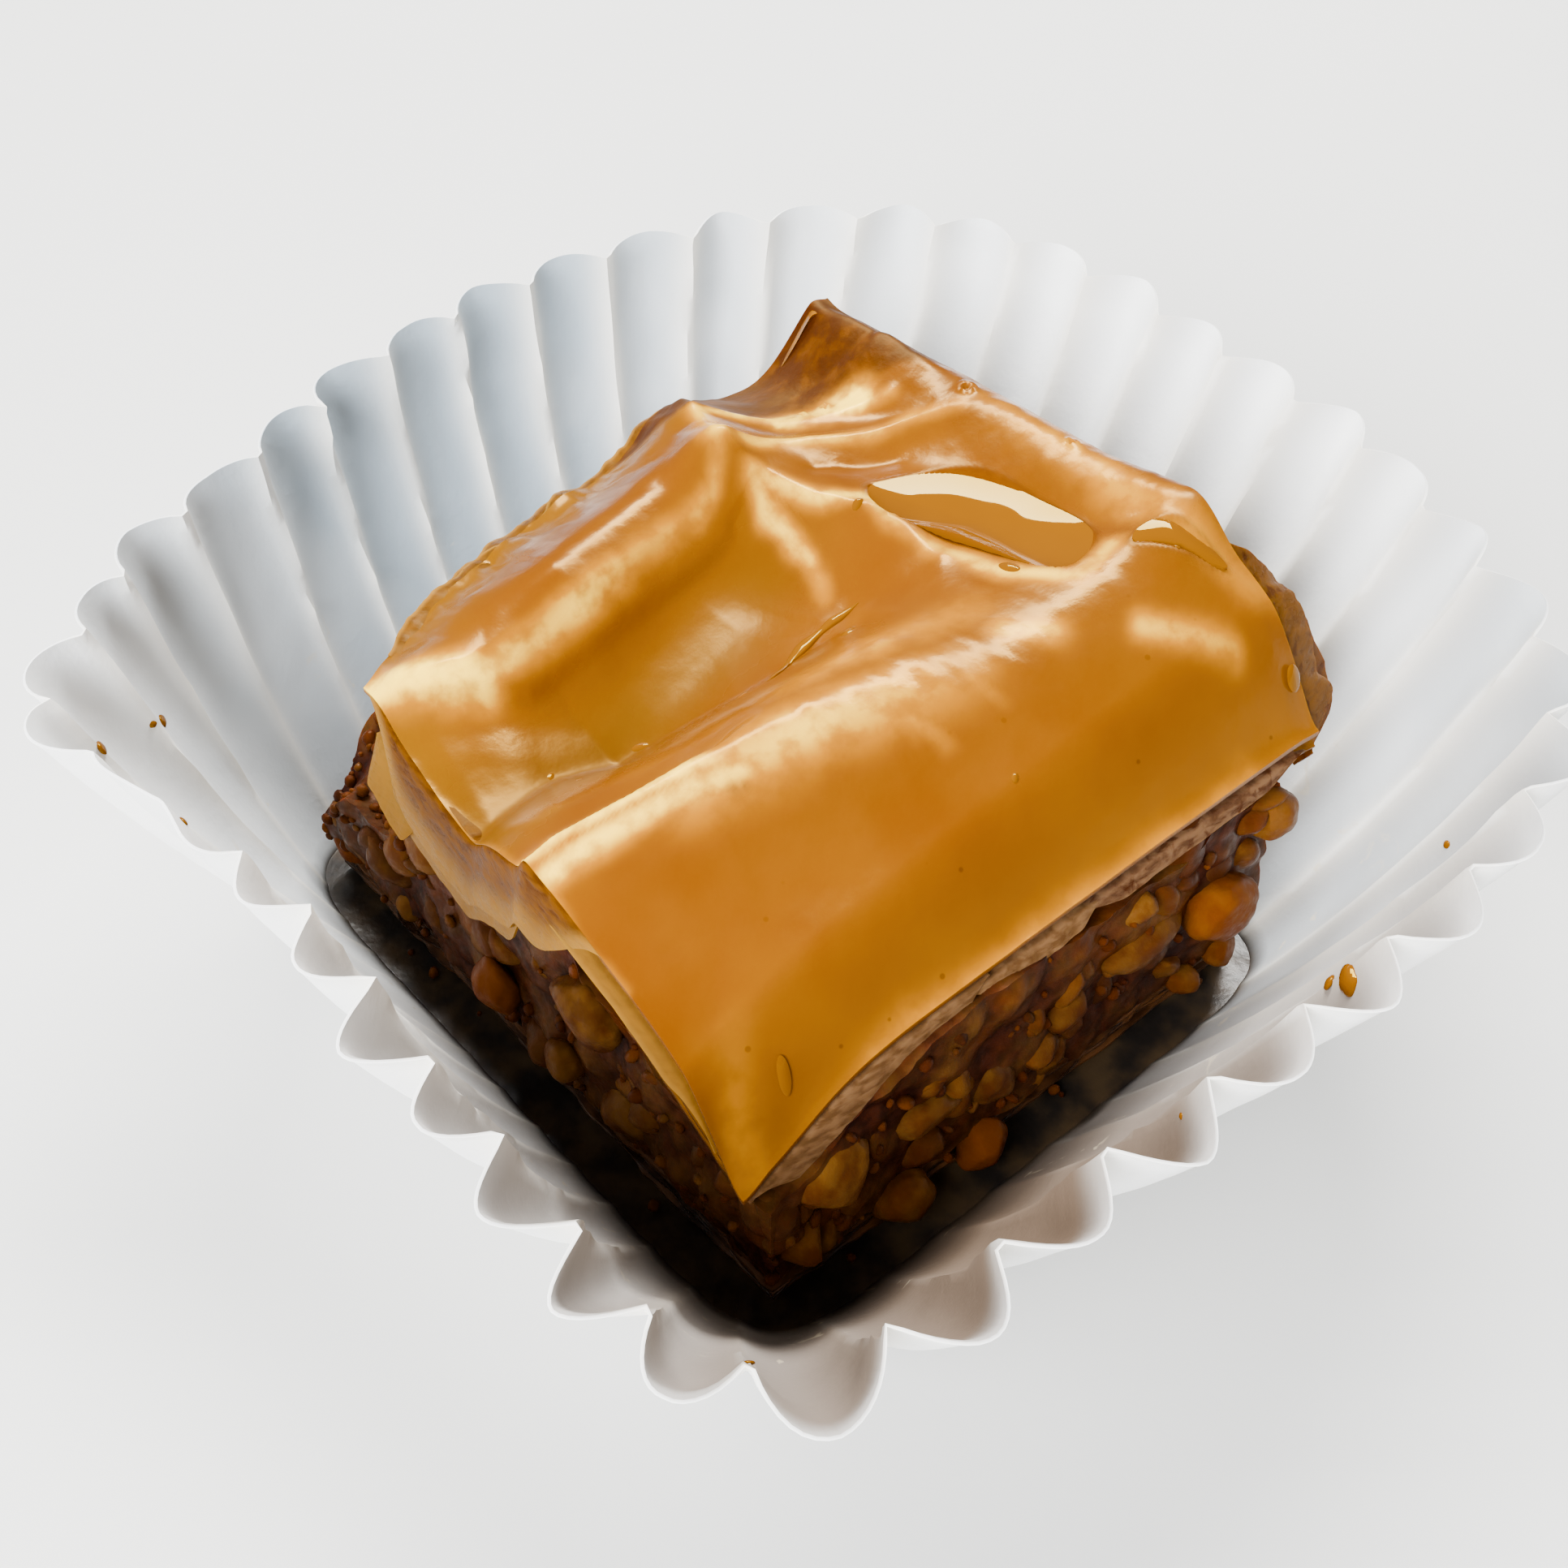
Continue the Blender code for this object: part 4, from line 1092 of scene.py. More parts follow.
# ---- top pastry ---------------------------------------------------------------------------
def sheet_plan(u, v, setback=0.0):
    """Place in plan on the top sheet: u runs from the near corner to the right one, v to the
    left one. The setback pulls the outline in from the sheet's edge."""
    near, right, back, left = (SHEET_CORNER[name] for name in ("near", "right", "back", "left"))
    across = 4.0 * u * (1.0 - u)
    along = 4.0 * v * (1.0 - v)
    x = (1.0 - v) * (near[0] + (right[0] - near[0]) * u) + v * (left[0] + (back[0] - left[0]) * u)
    y = (1.0 - v) * (near[1] + (right[1] - near[1]) * u) + v * (left[1] + (back[1] - left[1]) * u)
    x = x - SHEET_BULGE["front_left"] * along * (1.0 - u) + SHEET_BULGE["back_right"] * along * u
    y = y - SHEET_BULGE["front_right"] * across * (1.0 - v) + SHEET_BULGE["back_left"] * across * v
    return x - setback * (2.0 * u - 1.0), y - setback * (2.0 * v - 1.0)


def underside(x, y):
    """Height of the underside of the top pastry, which hangs at the near and left corners."""
    wave_x, wave_y = UNDERSIDE_WAVE_LENGTH
    height = UNDERSIDE + UNDERSIDE_WAVE * np.sin(math.tau * x / wave_x) * np.cos(math.tau * y / wave_y)
    for corner, drop in (("near", UNDERSIDE_DROP_NEAR), ("left", UNDERSIDE_DROP_LEFT)):
        away = np.hypot(x - SHEET_CORNER[corner][0], y - SHEET_CORNER[corner][1])
        height = height - drop * bell(away, UNDERSIDE_DROP_SPREAD)
    return height


def inward_distances(u, v):
    """Distance in from each side of the top sheet."""
    width = math.dist(SHEET_CORNER["near"], SHEET_CORNER["right"])
    depth = math.dist(SHEET_CORNER["right"], SHEET_CORNER["back"])
    return {
        "front_right": v * depth,
        "back_right": (1.0 - u) * width,
        "back_left": (1.0 - v) * depth,
        "front_left": u * width,
    }


def broad_height(x, y, u, v):
    """Height of the top sheet as the part's source has it."""
    height = TOP_LEVEL + TOP_CLIMB * x
    for _, half_width, line in TOP_FOLDS:
        distance, rise = nearest_on_line(x, y, line)
        height = height + rise * bell(distance, half_width)
    for side, distance in inward_distances(u, v).items():
        height = height - EDGE_DROP[side] * (1.0 - smooth_step(distance / EDGE_WIDTH[side]))
    corners = (("near", TIP_DROP, TIP_SPREAD), ("left", LEFT_CORNER_DROP, LEFT_CORNER_SPREAD))
    for corner, drop, spread in corners:
        away = np.hypot(x - SHEET_CORNER[corner][0], y - SHEET_CORNER[corner][1])
        height = height - drop * bell(away, spread)
    return height


def inside_distance(x, y, loop):
    """Distance in plan to a closed loop, positive inside it."""
    nearest = np.full(np.shape(x), np.inf)
    inside = np.zeros(np.shape(x), dtype=bool)
    for (ax, ay), (bx, by) in zip(loop, np.roll(loop, -1, axis=0)):
        nearest = np.minimum(nearest, distance_to_stretch(x, y, (ax, ay), (bx, by))[0])
        rises = (ay > y) != (by > y)
        inside ^= rises & (x < ax + (y - ay) * (bx - ax) / (by - ay if by != ay else 1.0))
    return np.where(inside, nearest, -nearest)


def fine_relief(x, y, u, v):
    """Narrow folds, pleats, blisters and edge crumples on top of the broad form."""
    relief = np.zeros(np.shape(x))
    edges = inward_distances(u, v)
    places = plan_points(x, y)
    for _, half_width, line in FINE_FOLDS:
        distance, rise = nearest_on_line(x, y, line)
        relief += rise * ridge(distance, half_width)
    for _, half_width, line in SWELLS:
        distance, rise = nearest_on_line(x, y, line)
        relief += rise * bell(distance, half_width)
    relief -= FRONT_LIP * bell(edges["front_right"], FRONT_LIP_WIDTH)
    drop, half_width, middle, half_length = LEFT_LIP
    relief -= drop * bell(edges["front_left"], half_width) * bell(y - middle, half_length)
    lifted = 1.0 - smooth_step(edges["back_right"] / EDGE_WIDTH["back_right"])
    lifted = lifted * (1.0 - smooth_step((v - BACK_RIGHT_LIFT_END) / BACK_RIGHT_LIFT_FADE))
    relief += BACK_RIGHT_LIFT * lifted
    for _, width, reach, line in STEPS_DOWN:
        relief -= step_down(x, y, line, width, reach)
    run = x * PLEAT_RUN[0] + y * PLEAT_RUN[1]
    across = y * PLEAT_RUN[0] - x * PLEAT_RUN[1]
    from_crest, _ = nearest_on_line(x, y, SLAB_CREST)
    pleats = ripples(plan_points(run / PLEAT_LENGTH, across / PLEAT_WIDTH), 1.0, seed=11, layers=2)
    relief += PLEAT_HEIGHT * pleats * bell(from_crest, PLEAT_REACH)
    from_strip, strip = nearest_on_line(x, y, BROWN_STRIP)
    blistered = strip * bell(from_strip, BROWN_STRIP_HALF)
    relief += BLISTER_HEIGHT * ripples(places, BLISTER_SIZE, seed=21) * blistered
    for bubble_x, bubble_y, radius in BUBBLES:
        away = np.hypot(x - bubble_x, y - bubble_y) / radius
        dip = BUBBLE_DIP * (1.0 - smooth_step(away))
        relief += BUBBLE_RIM * ridge(np.abs(away - 1.0), BUBBLE_RIM_WIDTH) - dip
    crumpled = bell(edges["back_left"], CRUMPLE_WIDTH) * smooth_step(u * CRUMPLE_FADE)
    crumpled = crumpled * smooth_step((CRUMPLE_END - u) * CRUMPLE_FADE)
    crumples = ripples(plan_points(x, y * CRUMPLE_SQUEEZE), CRUMPLE_SIZE, seed=31)
    relief += CRUMPLE_HEIGHT * crumples * crumpled
    for (height, size), seed, layers in ((UNDULATION, 41, 3), (FINE_UNDULATION, 51, 2)):
        relief += height * ripples(places, size, seed, layers)
    return relief


def left_of(x, y, line):
    """True for places to the left of a line as it runs, by its nearest stretch."""
    nearest = np.full(np.shape(x), np.inf)
    left = np.zeros(np.shape(x), dtype=bool)
    for start, end in zip(line, line[1:]):
        distance, _ = distance_to_stretch(x, y, start, end)
        closer = distance < nearest
        nearest = np.where(closer, distance, nearest)
        turn = (end[0] - start[0]) * (y - start[1]) - (end[1] - start[1]) * (x - start[0])
        left = np.where(closer, turn > 0.0, left)
    return left


def step_down(x, y, line, width, reach):
    """A drop on the left of a line: over a width, and fading again over a reach."""
    distance, drop = nearest_on_line(x, y, line)
    falls = drop * smooth_step(distance / width) * (1.0 - smooth_step((distance - width) / reach))
    return np.where(left_of(x, y, line), falls, 0.0)


def sheet_height(x, y, u, v):
    return broad_height(x, y, u, v) + fine_relief(x, y, u, v)


def pool_loops():
    return [smooth_loop(corners, POOL_STEPS) for _, corners, _ in POOLS]


def pool_bed(x, y):
    """How far the sheet sinks under the syrup pools, with a low lip round each."""
    bed = np.zeros(np.shape(x))
    for loop in pool_loops():
        inside = inside_distance(x, y, loop)
        bed += POOL_LIP * ridge(np.abs(inside), POOL_LIP_HALF) - POOL_DEPTH * smooth_step(inside / POOL_SLOPE)
    return bed


def beyond_corner_line(x, y):
    """Distance in plan beyond the line where the sheet rises to its back corner."""
    (ax, ay), (bx, by) = CORNER_LINE
    length = math.hypot(bx - ax, by - ay)
    return ((bx - ax) * (y - ay) - (by - ay) * (x - ax)) / length


def comes_in(values, start, length):
    """0 before a start and 1 a length past it, downwards where the length is negative."""
    return smooth_step((values - start) / length)


def gold_mark(x, y, u, edges):
    """Where the sheet is golden."""
    gold = GOLD_EDGE * bell(edges["back_left"], GOLD_EDGE_WIDTH)
    gold = gold * smooth_step((GOLD_EDGE_END - u) * GOLD_EDGE_FADE)
    for _, strength, along_x, along_y in GOLD_AREAS:
        gold = np.maximum(gold, strength * comes_in(x, *along_x) * comes_in(y, *along_y))
    return gold


def pale_and_highlight_mark(x, y, places):
    """Where the sheet has creamy strokes: paler pastry, and painted highlights."""
    wander = PALE_WANDER * ripples(places, PALE_WANDER_SIZE, seed=61)
    pale = np.zeros(np.shape(x))
    for _, half_width, line in PALE_AND_HIGHLIGHT_STROKES:
        distance, strength = nearest_on_line(x + wander, y - wander, line)
        pale = np.maximum(pale, strength * bell(distance, half_width))
    return pale


def char_mark(x, y, corner):
    """Where the sheet is charred: its back corner, its back right edge and crumbs; and painted shade round
    each pool's edge.
    """
    tip = bell(np.hypot(x - CORNER_TIP[0], y - CORNER_TIP[1]), CORNER_TIP_SPREAD)
    char = np.maximum(CORNER_CHAR, tip) * corner
    from_dark, dark = nearest_on_line(x, y, DARK_EDGE)
    char = np.maximum(char, dark * bell(from_dark, DARK_EDGE_HALF))
    for spot_x, spot_y, size in SPOTS:
        char = np.maximum(char, bell(np.hypot(x - spot_x, y - spot_y), size))
    # painted shade in a thin line round each pool, in the char colour
    strength, outside, half_width = POOL_RIM
    for loop in pool_loops():
        char = np.maximum(char, strength * bell(inside_distance(x, y, loop) + outside, half_width))
    return char


def sheet_marks(x, y, u, v):
    """Where the top sheet is golden, pale with painted highlights, toasted, charred, specked, or calm with
    painted shade, from 0 to 1.
    """
    edges = inward_distances(u, v)
    places = plan_points(x, y)
    from_hollow, in_hollow = nearest_on_line(x, y, CALM_HOLLOW)
    ragged = CORNER_RAGGEDNESS * ripples(places, CORNER_RAGGED_SIZE, seed=63)
    corner = smooth_step(beyond_corner_line(x, y) / CORNER_FADE + ragged)
    from_strip, _ = nearest_on_line(x, y, BROWN_STRIP)
    glint, _ = nearest_on_line(x, y, GLINT_PATCH)
    toast = np.maximum(BROWN_STRIP_TOAST * bell(from_strip, BROWN_STRIP_HALF), corner)
    on_glint = bell(glint, GLINT_HALF) * (1.0 + GLINT_HOLES * ripples(places, GLINT_HOLE_SIZE, seed=67))
    # pale carries painted highlights: the creamy strokes and the glint patch
    pale = np.maximum(pale_and_highlight_mark(x, y, places) * (1.0 - corner), on_glint)
    none = np.zeros(np.shape(x))
    return {
        "gold": gold_mark(x, y, u, edges),
        "pale": np.clip(pale, 0.0, 1.0),
        "toast": toast * (1.0 - bell(glint, GLINT_CLEARS_TOAST)),
        "char": char_mark(x, y, corner) * (1.0 - bell(glint, GLINT_CLEARS_CHAR)),
        "specks": 1.0 - smooth_step(edges["front_right"] / SPECKS_REACH),
        "calm": in_hollow * bell(from_hollow, CALM_HOLLOW_HALF),
        "layer": none,
        "painted_shade": none,
    }


def sheet_border(steps):
    """u and v along the sheet's border, anticlockwise from the near corner."""
    share = np.arange(steps) / steps
    none, full = np.zeros(steps), np.ones(steps)
    u = np.concatenate([share, full, 1.0 - share, none])
    v = np.concatenate([none, share, full, 1.0 - share])
    return u, v


def build_top_pastry(finish):
    """The glazed sheet, the cut edges of the leaves under it, and their underside."""
    n = TOP_GRID
    u, v = np.meshgrid(np.linspace(0.0, 1.0, n + 1), np.linspace(0.0, 1.0, n + 1), indexing="ij")
    x, y = sheet_plan(u, v)
    z = sheet_height(x, y, u, v) + pool_bed(x, y)
    grid = plan_points(x, y, z)
    marks = sheet_marks(x, y, u, v)
    border_u, border_v = sheet_border(n)
    columns = np.round(border_u * n).astype(int), np.round(border_v * n).astype(int)
    edge = grid[columns]
    outward = level_normals(edge, 3)
    low_x, low_y = sheet_plan(border_u, border_v, SHEET_SETBACK)
    low = plan_points(low_x, low_y, underside(low_x, low_y))
    rows = [edge - (0.0, 0.0, SHEET_THICKNESS)]
    stack_top = plan_points(low_x, low_y, edge[:, 2] - SHEET_THICKNESS)
    total = STRATA * ROWS_PER_LEAF
    for row in range(total + 1):
        leaf, within = divmod(row, ROWS_PER_LEAF)
        place = stack_top + (low - stack_top) * row / total
        in_leaf = plan_points(edge[:, 0], edge[:, 1], 7.0 * leaf)
        stands_out = STRATA_STEP * ripples(in_leaf, STRATA_STEP_SIZE, seed=71)
        groove = STRATA_GROOVE if within == 0 else 0.0
        offset = (stands_out - groove)[:, None] * outward
        in_leaf = plan_points(edge[:, 0], edge[:, 1], 5.0 * leaf)
        sway = STRATA_SWAY * ripples(in_leaf, STRATA_SWAY_SIZE, seed=81)
        rows.append(place + offset + plan_points(0.0, 0.0, sway))
    for ring in range(1, UNDERSIDE_RINGS):
        share = 1.0 - ring / UNDERSIDE_RINGS
        ring_x, ring_y = low_x * share, low_y * share
        rows.append(plan_points(ring_x, ring_y, underside(ring_x, ring_y)))
    rows = np.array(rows)
    count = rows.shape[1]
    first = (n + 1) ** 2
    middle = first + rows.shape[0] * count
    points = np.concatenate([grid.reshape(-1, 3), rows.reshape(-1, 3), rows[-1].mean(axis=0)[None]])
    faces = band(n + 1, n + 1, closed=False)
    border = (columns[0] * (n + 1) + columns[1]).tolist()
    for i in range(count):
        after = (i + 1) % count
        faces.append((border[i], border[after], first + after, first + i))
    faces += [tuple(i + first for i in face) for face in band(rows.shape[0], count)]
    faces += fan(first + (rows.shape[0] - 1) * count, count, middle)
    across = rows.reshape(-1, 3)
    streaks = 0.5 + 0.5 * ripples(across * (1.0, 1.0, 3.0), STREAK_SIZE, seed=91)
    pale_rows = np.zeros(rows.shape[:2])
    for row in range(total + 1):
        pale_rows[row + 1] = PALE_BY_ROW[row % ROWS_PER_LEAF]
    on_front_right = np.broadcast_to(border_v < SIDE_SHARE, rows.shape[:2]).reshape(-1)
    browned = np.broadcast_to(border_u > 1.0 - SIDE_SHARE, rows.shape[:2]).reshape(-1)
    none = np.zeros(len(across))
    side = {
        "gold": none + SIDE_GOLD,
        "toast": none,
        "char": np.where(browned, SIDE_CHAR_BROWNED, 0.0),
        "specks": none,
        "calm": none,
        "pale": np.where(browned, SIDE_PALE_BROWNED, SIDE_PALE) * pale_rows.reshape(-1) * streaks,
        "layer": 0.6 + 0.4 * streaks,
        # painted shade on the stack's sides, most on the front right
        "painted_shade": np.where(on_front_right, SIDE_SHADE_FRONT, SIDE_SHADE),
    }
    values = {}
    for name, on_sheet in marks.items():
        values[name] = np.concatenate([on_sheet.reshape(-1), side[name], side[name][-1:]])
    return make_piece("top_stack", points, faces, values, finish, "glazed_pastry", "top_pastry")


def side_line(side, share):
    """Places along one side of the top sheet, at its upper edge, and the way out from it."""
    none, full = np.zeros(np.shape(share)), np.ones(np.shape(share))
    u, v = {
        "front_right": (share, none), "back_right": (full, share),
        "back_left": (share, full), "front_left": (none, share),
    }[side]
    x, y = sheet_plan(u, v)
    along = np.gradient(plan_points(x, y), axis=0)
    turn = -1.0 if side in ("back_left", "front_left") else 1.0
    outward = turn * np.stack([along[:, 1], -along[:, 0], none], -1)
    outward /= np.linalg.norm(outward, axis=1, keepdims=True)
    return plan_points(x, y, sheet_height(x, y, u, v)), outward


def on_both_faces(values, shape):
    """Values for the points of a thin sheet, from values for the grid of points it is made round."""
    return np.tile(np.broadcast_to(values, shape).reshape(-1), 2)


def build_leaves(finish):
    """Thin leaves that stick out of the stack at its sides."""
    bodies = []
    for number, (side, start, end, depth, reach, droop, pale, toast) in enumerate(SIDE_LEAVES):
        edge, outward = side_line(side, np.linspace(start, end, LEAF_STEPS_ALONG))
        share = np.linspace(0.0, 1.0, LEAF_STEPS_ALONG)
        places = plan_points(edge[:, 0], edge[:, 1], 9.0 * number)
        tears = ripples(places, LEAF_TEAR, seed=101) + LEAF_FRAY_SHARE * ripples(places, LEAF_FRAY, seed=103)
        full = np.minimum(smooth_step(share * LEAF_FADE), smooth_step((1.0 - share) * LEAF_FADE))
        reaches = reach * (1.0 + LEAF_RAGGED[side] * tears) * full
        out = np.linspace(0.0, 1.0, LEAF_STEPS_OUT)[:, None]
        stretch = -LEAF_ROOT + out * (LEAF_ROOT + reaches)
        grid = edge + outward * stretch[..., None]
        waved = plan_points(places[:, 0], places[:, 1], out * 2.0)
        wave = LEAF_WAVE[side] * ripples(waved, LEAF_WAVE_SIZE, seed=107 + number)
        past_edge = np.clip(stretch / np.maximum(reaches, 0.01), 0.0, 1.0)
        grid[..., 2] -= depth + droop * past_edge ** LEAF_DROOP_POWER * full - wave * out
        points, faces = thin_sheet(grid, LEAF_THICKNESS)
        shape = grid.shape[:2]
        rim = LEAF_RIM * smooth_step((out - 1.0 + LEAF_RIM_WIDTH) / LEAF_RIM_WIDTH)
        bodies.append((points, faces, {
            "tone": on_both_faces(1.0 - LEAF_BROWNING * toast * out, shape),
            "pale": np.maximum(pale, on_both_faces(rim, shape) * (1.0 - toast)),
            "toast": toast,
            "painted_shade": 1.0 if side == "front_right" else 0.0,
        }))
    points, faces, marks = joined(bodies)
    return make_piece("side_leaves", points, faces, marks, finish, "glazed_pastry")


# ---- syrup --------------------------------------------------------------------------------
def lens(loop, level, crown, depth):
    """A drop with an outline: its top follows a level and rises to a crown, and it reaches a
    depth into what it lies on."""
    loop = np.asarray(loop, dtype=float)
    middle = loop.mean(axis=0)
    shares = np.arange(1, LENS_RINGS + 1) / LENS_RINGS
    rows = []
    for share in shares:
        place = middle + (loop - middle) * share
        rows.append(plan_points(place[:, 0], place[:, 1], level(place[:, 0], place[:, 1]) - depth))
    for share in shares[::-1]:
        place = middle + (loop - middle) * share
        rise = crown * (1.0 - share ** 2)
        rows.append(plan_points(place[:, 0], place[:, 1], level(place[:, 0], place[:, 1]) + rise))
    return closed_rows(rows)


def sheet_shares(x, y):
    """u and v of places in plan, on the parallelogram through three of the sheet's corners."""
    near, right, left = (np.array(SHEET_CORNER[name]) for name in ("near", "right", "left"))
    axes = np.linalg.inv(np.stack([right - near, left - near], 1))
    return axes @ np.stack([x - near[0], y - near[1]])


def plain_height(x, y):
    """Height of the top sheet at places in plan, without the turn down at its edges."""
    u, v = sheet_shares(x, y)
    return sheet_height(x, y, np.clip(u, 0.1, 0.9), np.clip(v, 0.2, 0.9))


def edge_height(x, y):
    """Height of the top sheet at places in plan, up to its edges."""
    u, v = sheet_shares(x, y)
    return sheet_height(x, y, np.clip(u, 0.0, 1.0), np.clip(v, 0.0, 1.0)) + pool_bed(x, y)


def build_pools(finish):
    """Syrup pools, each level with the plane that fits its rim best."""
    bodies = []
    for (_, _, crown), loop in zip(POOLS, pool_loops()):
        height = plain_height(loop[:, 0], loop[:, 1])
        ones = np.ones(len(loop))
        plane = np.linalg.lstsq(np.stack([loop[:, 0], loop[:, 1], ones], 1), height, rcond=None)[0]

        def level(x, y):
            return plane[0] * x + plane[1] * y + plane[2]

        points, faces = lens(loop, level, crown, POOL_DEPTH)
        bodies.append((points, faces, {}))
    points, faces, marks = joined(bodies)
    return make_piece("syrup_pools", points, faces, marks, finish, "glazed_pastry")


def syrup_thread():
    """A low rounded thread of syrup along a line on the sheet, thinning at its ends."""
    line = np.array(THREAD)
    share = np.linspace(0.0, 1.0, THREAD_STEPS)
    knots = np.linspace(0.0, 1.0, len(line))
    x, y = np.interp(share, knots, line[:, 0]), np.interp(share, knots, line[:, 1])
    for _ in range(THREAD_SMOOTHINGS):
        x[1:-1] = (x[:-2] + 2.0 * x[1:-1] + x[2:]) / 4.0
        y[1:-1] = (y[:-2] + 2.0 * y[1:-1] + y[2:]) / 4.0
    along = np.gradient(np.stack([x, y], -1), axis=0)
    side = np.stack([-along[:, 1], along[:, 0]], -1) / np.linalg.norm(along, axis=1, keepdims=True)
    full = np.sqrt(np.clip(np.sin(np.pi * np.clip(share, 0.01, 0.99)), 0.02, 1.0))
    full = full * (1.0 + THREAD_LUMPS * np.sin(share * THREAD_LUMP_TURN))
    rows = []
    for turn in np.linspace(0.0, math.tau, THREAD_SIDES, endpoint=False):
        out = THREAD_HALF * full * math.cos(turn)
        place_x, place_y = x + side[:, 0] * out, y + side[:, 1] * out
        height = edge_height(place_x, place_y) + THREAD_HEIGHT * full * math.sin(turn)
        rows.append(plan_points(place_x, place_y, height))
    return closed_rows(np.stack(rows, 1))


def build_drops(finish, paper, paper_normals):
    """Drops of syrup on the sheet and on the paper, and a thread of it in the hollow."""
    bodies = [(*syrup_thread(), {})]
    turns = np.linspace(0.0, math.tau, DROP_SIDES, endpoint=False)
    for x, y, long, wide, turn in SHEET_DROPS:
        turn = math.radians(turn)
        along, across = long * np.cos(turns), wide * np.sin(turns)
        loop = np.stack([x + along * math.cos(turn) - across * math.sin(turn),
                         y + along * math.sin(turn) + across * math.cos(turn)], -1)
        points, faces = lens(loop, edge_height, DROP_HEIGHT * wide, DROP_DEPTH)
        bodies.append((points, faces, {}))
    unit, faces = ball(3)
    for number, (place, radius) in enumerate(PAPER_DROPS):
        away = np.linalg.norm(paper - np.array(place), axis=-1)
        nearest = np.unravel_index(away.argmin(), away.shape)
        way = Vector(-paper_normals[nearest]).to_track_quat("Z", "Y").to_matrix()
        lumps = 1.0 + PAPER_DROP_LUMPS * ripples(unit + 9.0 * number, 0.9, seed=501)
        points = unit * lumps[:, None] * (radius * np.array(PAPER_DROP_SHAPE))
        bodies.append((points @ np.array(way).T + paper[nearest], faces, {}))
    points, faces, marks = joined(bodies)
    return make_piece("syrup_drops", points, faces, marks, finish, "glazed_pastry")


# ---- nuts ---------------------------------------------------------------------------------
def filling_height(x, y):
    """Top of the filling: just under the top pastry, and sloping down at the crumbled corner."""
    slope = CRUMBLED_LEVEL + CRUMBLED_SLOPE * np.hypot(x - CRUMBLED_CORNER[0], y - CRUMBLED_CORNER[1])
    return np.minimum(underside(x, y) - GAP, slope)


def rectangle_border(half, steps):
    """Points round a rectangle from its near corner, anticlockwise."""
    u, v = sheet_border(steps)
    return plan_points(half[0] * (2.0 * u - 1.0), half[1] * (2.0 * v - 1.0))


def crumbly(places):
    """How far the filling stands out at a place: nuts sunk in a paste of finer ones."""
    spacing, height = FILLING_NUTS
    nuts = np.maximum(height * (NUT_REACH - pebbles(places, spacing, seed=201)), PASTE_LEVEL)
    spacing, height = FILLING_SMALL_NUTS
    small = height * (NUT_REACH - pebbles(places, spacing, seed=203))
    size, height = FILLING_GRIT
    return nuts + small + height * ripples(places, size, seed=205, layers=2)


def build_filling(finish):
    """The chopped nut layer, lumpy at its sides and on its crumbled corner."""
    border = rectangle_border(FILLING_HALF, FILLING_STEPS)
    outward = level_normals(border, 3)
    bottom = BASE_BOTTOM + BASE_THICKNESS + GAP
    rows = []
    for ring in range(1, FILLING_FLOOR_RINGS):
        share = ring / FILLING_FLOOR_RINGS
        rows.append(border * (share, share, 0.0) + (0.0, 0.0, bottom))
    top = filling_height(border[:, 0], border[:, 1])
    for row in range(FILLING_ROWS + 1):
        place = border.copy()
        place[:, 2] = bottom + (top - bottom) * row / FILLING_ROWS
        rows.append(place + outward * (SIDE_RELIEF * crumbly(place))[:, None])
    for ring in range(1, FILLING_TOP_RINGS):
        share = 1.0 - ring / FILLING_TOP_RINGS
        x, y = border[:, 0] * share, border[:, 1] * share
        place = plan_points(x, y, filling_height(x, y))
        place[:, 2] += TOP_RELIEF * np.minimum(crumbly(place), TOP_RELIEF_MOST) - TOP_SINK
        rows.append(place)
    points, faces = closed_rows(rows)
    tone = np.clip(0.14 + 0.35 * crumbly(points) + 0.22 * ripples(points, 4.5, seed=207), 0.0, 0.7)
    orange = np.clip(ripples(points, 5.0, seed=209) - 0.2, 0.0, 0.5)
    marks = {"tone": tone, "orange": orange, "skin": np.zeros(len(points))}
    return make_piece("nut_core", points, faces, marks, finish, "chopped_nuts", "nut_filling")


def ball(level):
    """Points and faces of a round ball of radius 1."""
    solid = bmesh.new()
    bmesh.ops.create_icosphere(solid, subdivisions=level, radius=1.0)
    points = np.array([vert.co for vert in solid.verts])
    faces = [tuple(vert.index for vert in face.verts) for face in solid.faces]
    solid.free()
    return points, faces


def chunk(rng, shape, place, radii, lumps, turned=True):
    """A chopped nut: a lumpy ball with a few flat cuts, sized and turned, and how near each
    point is to a cut."""
    unit, faces = shape
    points = unit * (1.0 + lumps * ripples(unit + rng.uniform(0.0, 50.0, 3), 0.9, seed=301))[:, None]
    cut = np.zeros(len(points))
    for _ in range(CUTS):
        way = rng.normal(size=3)
        way /= np.linalg.norm(way)
        over = np.clip(points @ way - rng.uniform(*CUT_AT), 0.0, None)
        points = points - np.outer(over * CUT_SHARE, way)
        cut = np.maximum(cut, np.minimum(over * CUT_EDGE, 1.0))
    points = points * np.asarray(radii)
    if turned:
        points = points @ np.linalg.qr(rng.normal(size=(3, 3)))[0]
    return points + np.asarray(place), faces, cut


def nut_body(points, faces, cut, tone, orange, skin):
    """A chunk with its marks, its skin left off the cuts."""
    shade = tone * (0.85 + 0.25 * ripples(points, 1.2, seed=303))
    return points, faces, {"tone": shade, "orange": orange, "skin": skin * (1.0 - cut)}


def make_nuts(name, bodies, finish):
    """One piece made of chopped nuts."""
    points, faces, marks = joined(bodies)
    return make_piece(name, points, faces, marks, finish, "chopped_nuts", sharp_angle=NUT_SHARP_ANGLE)


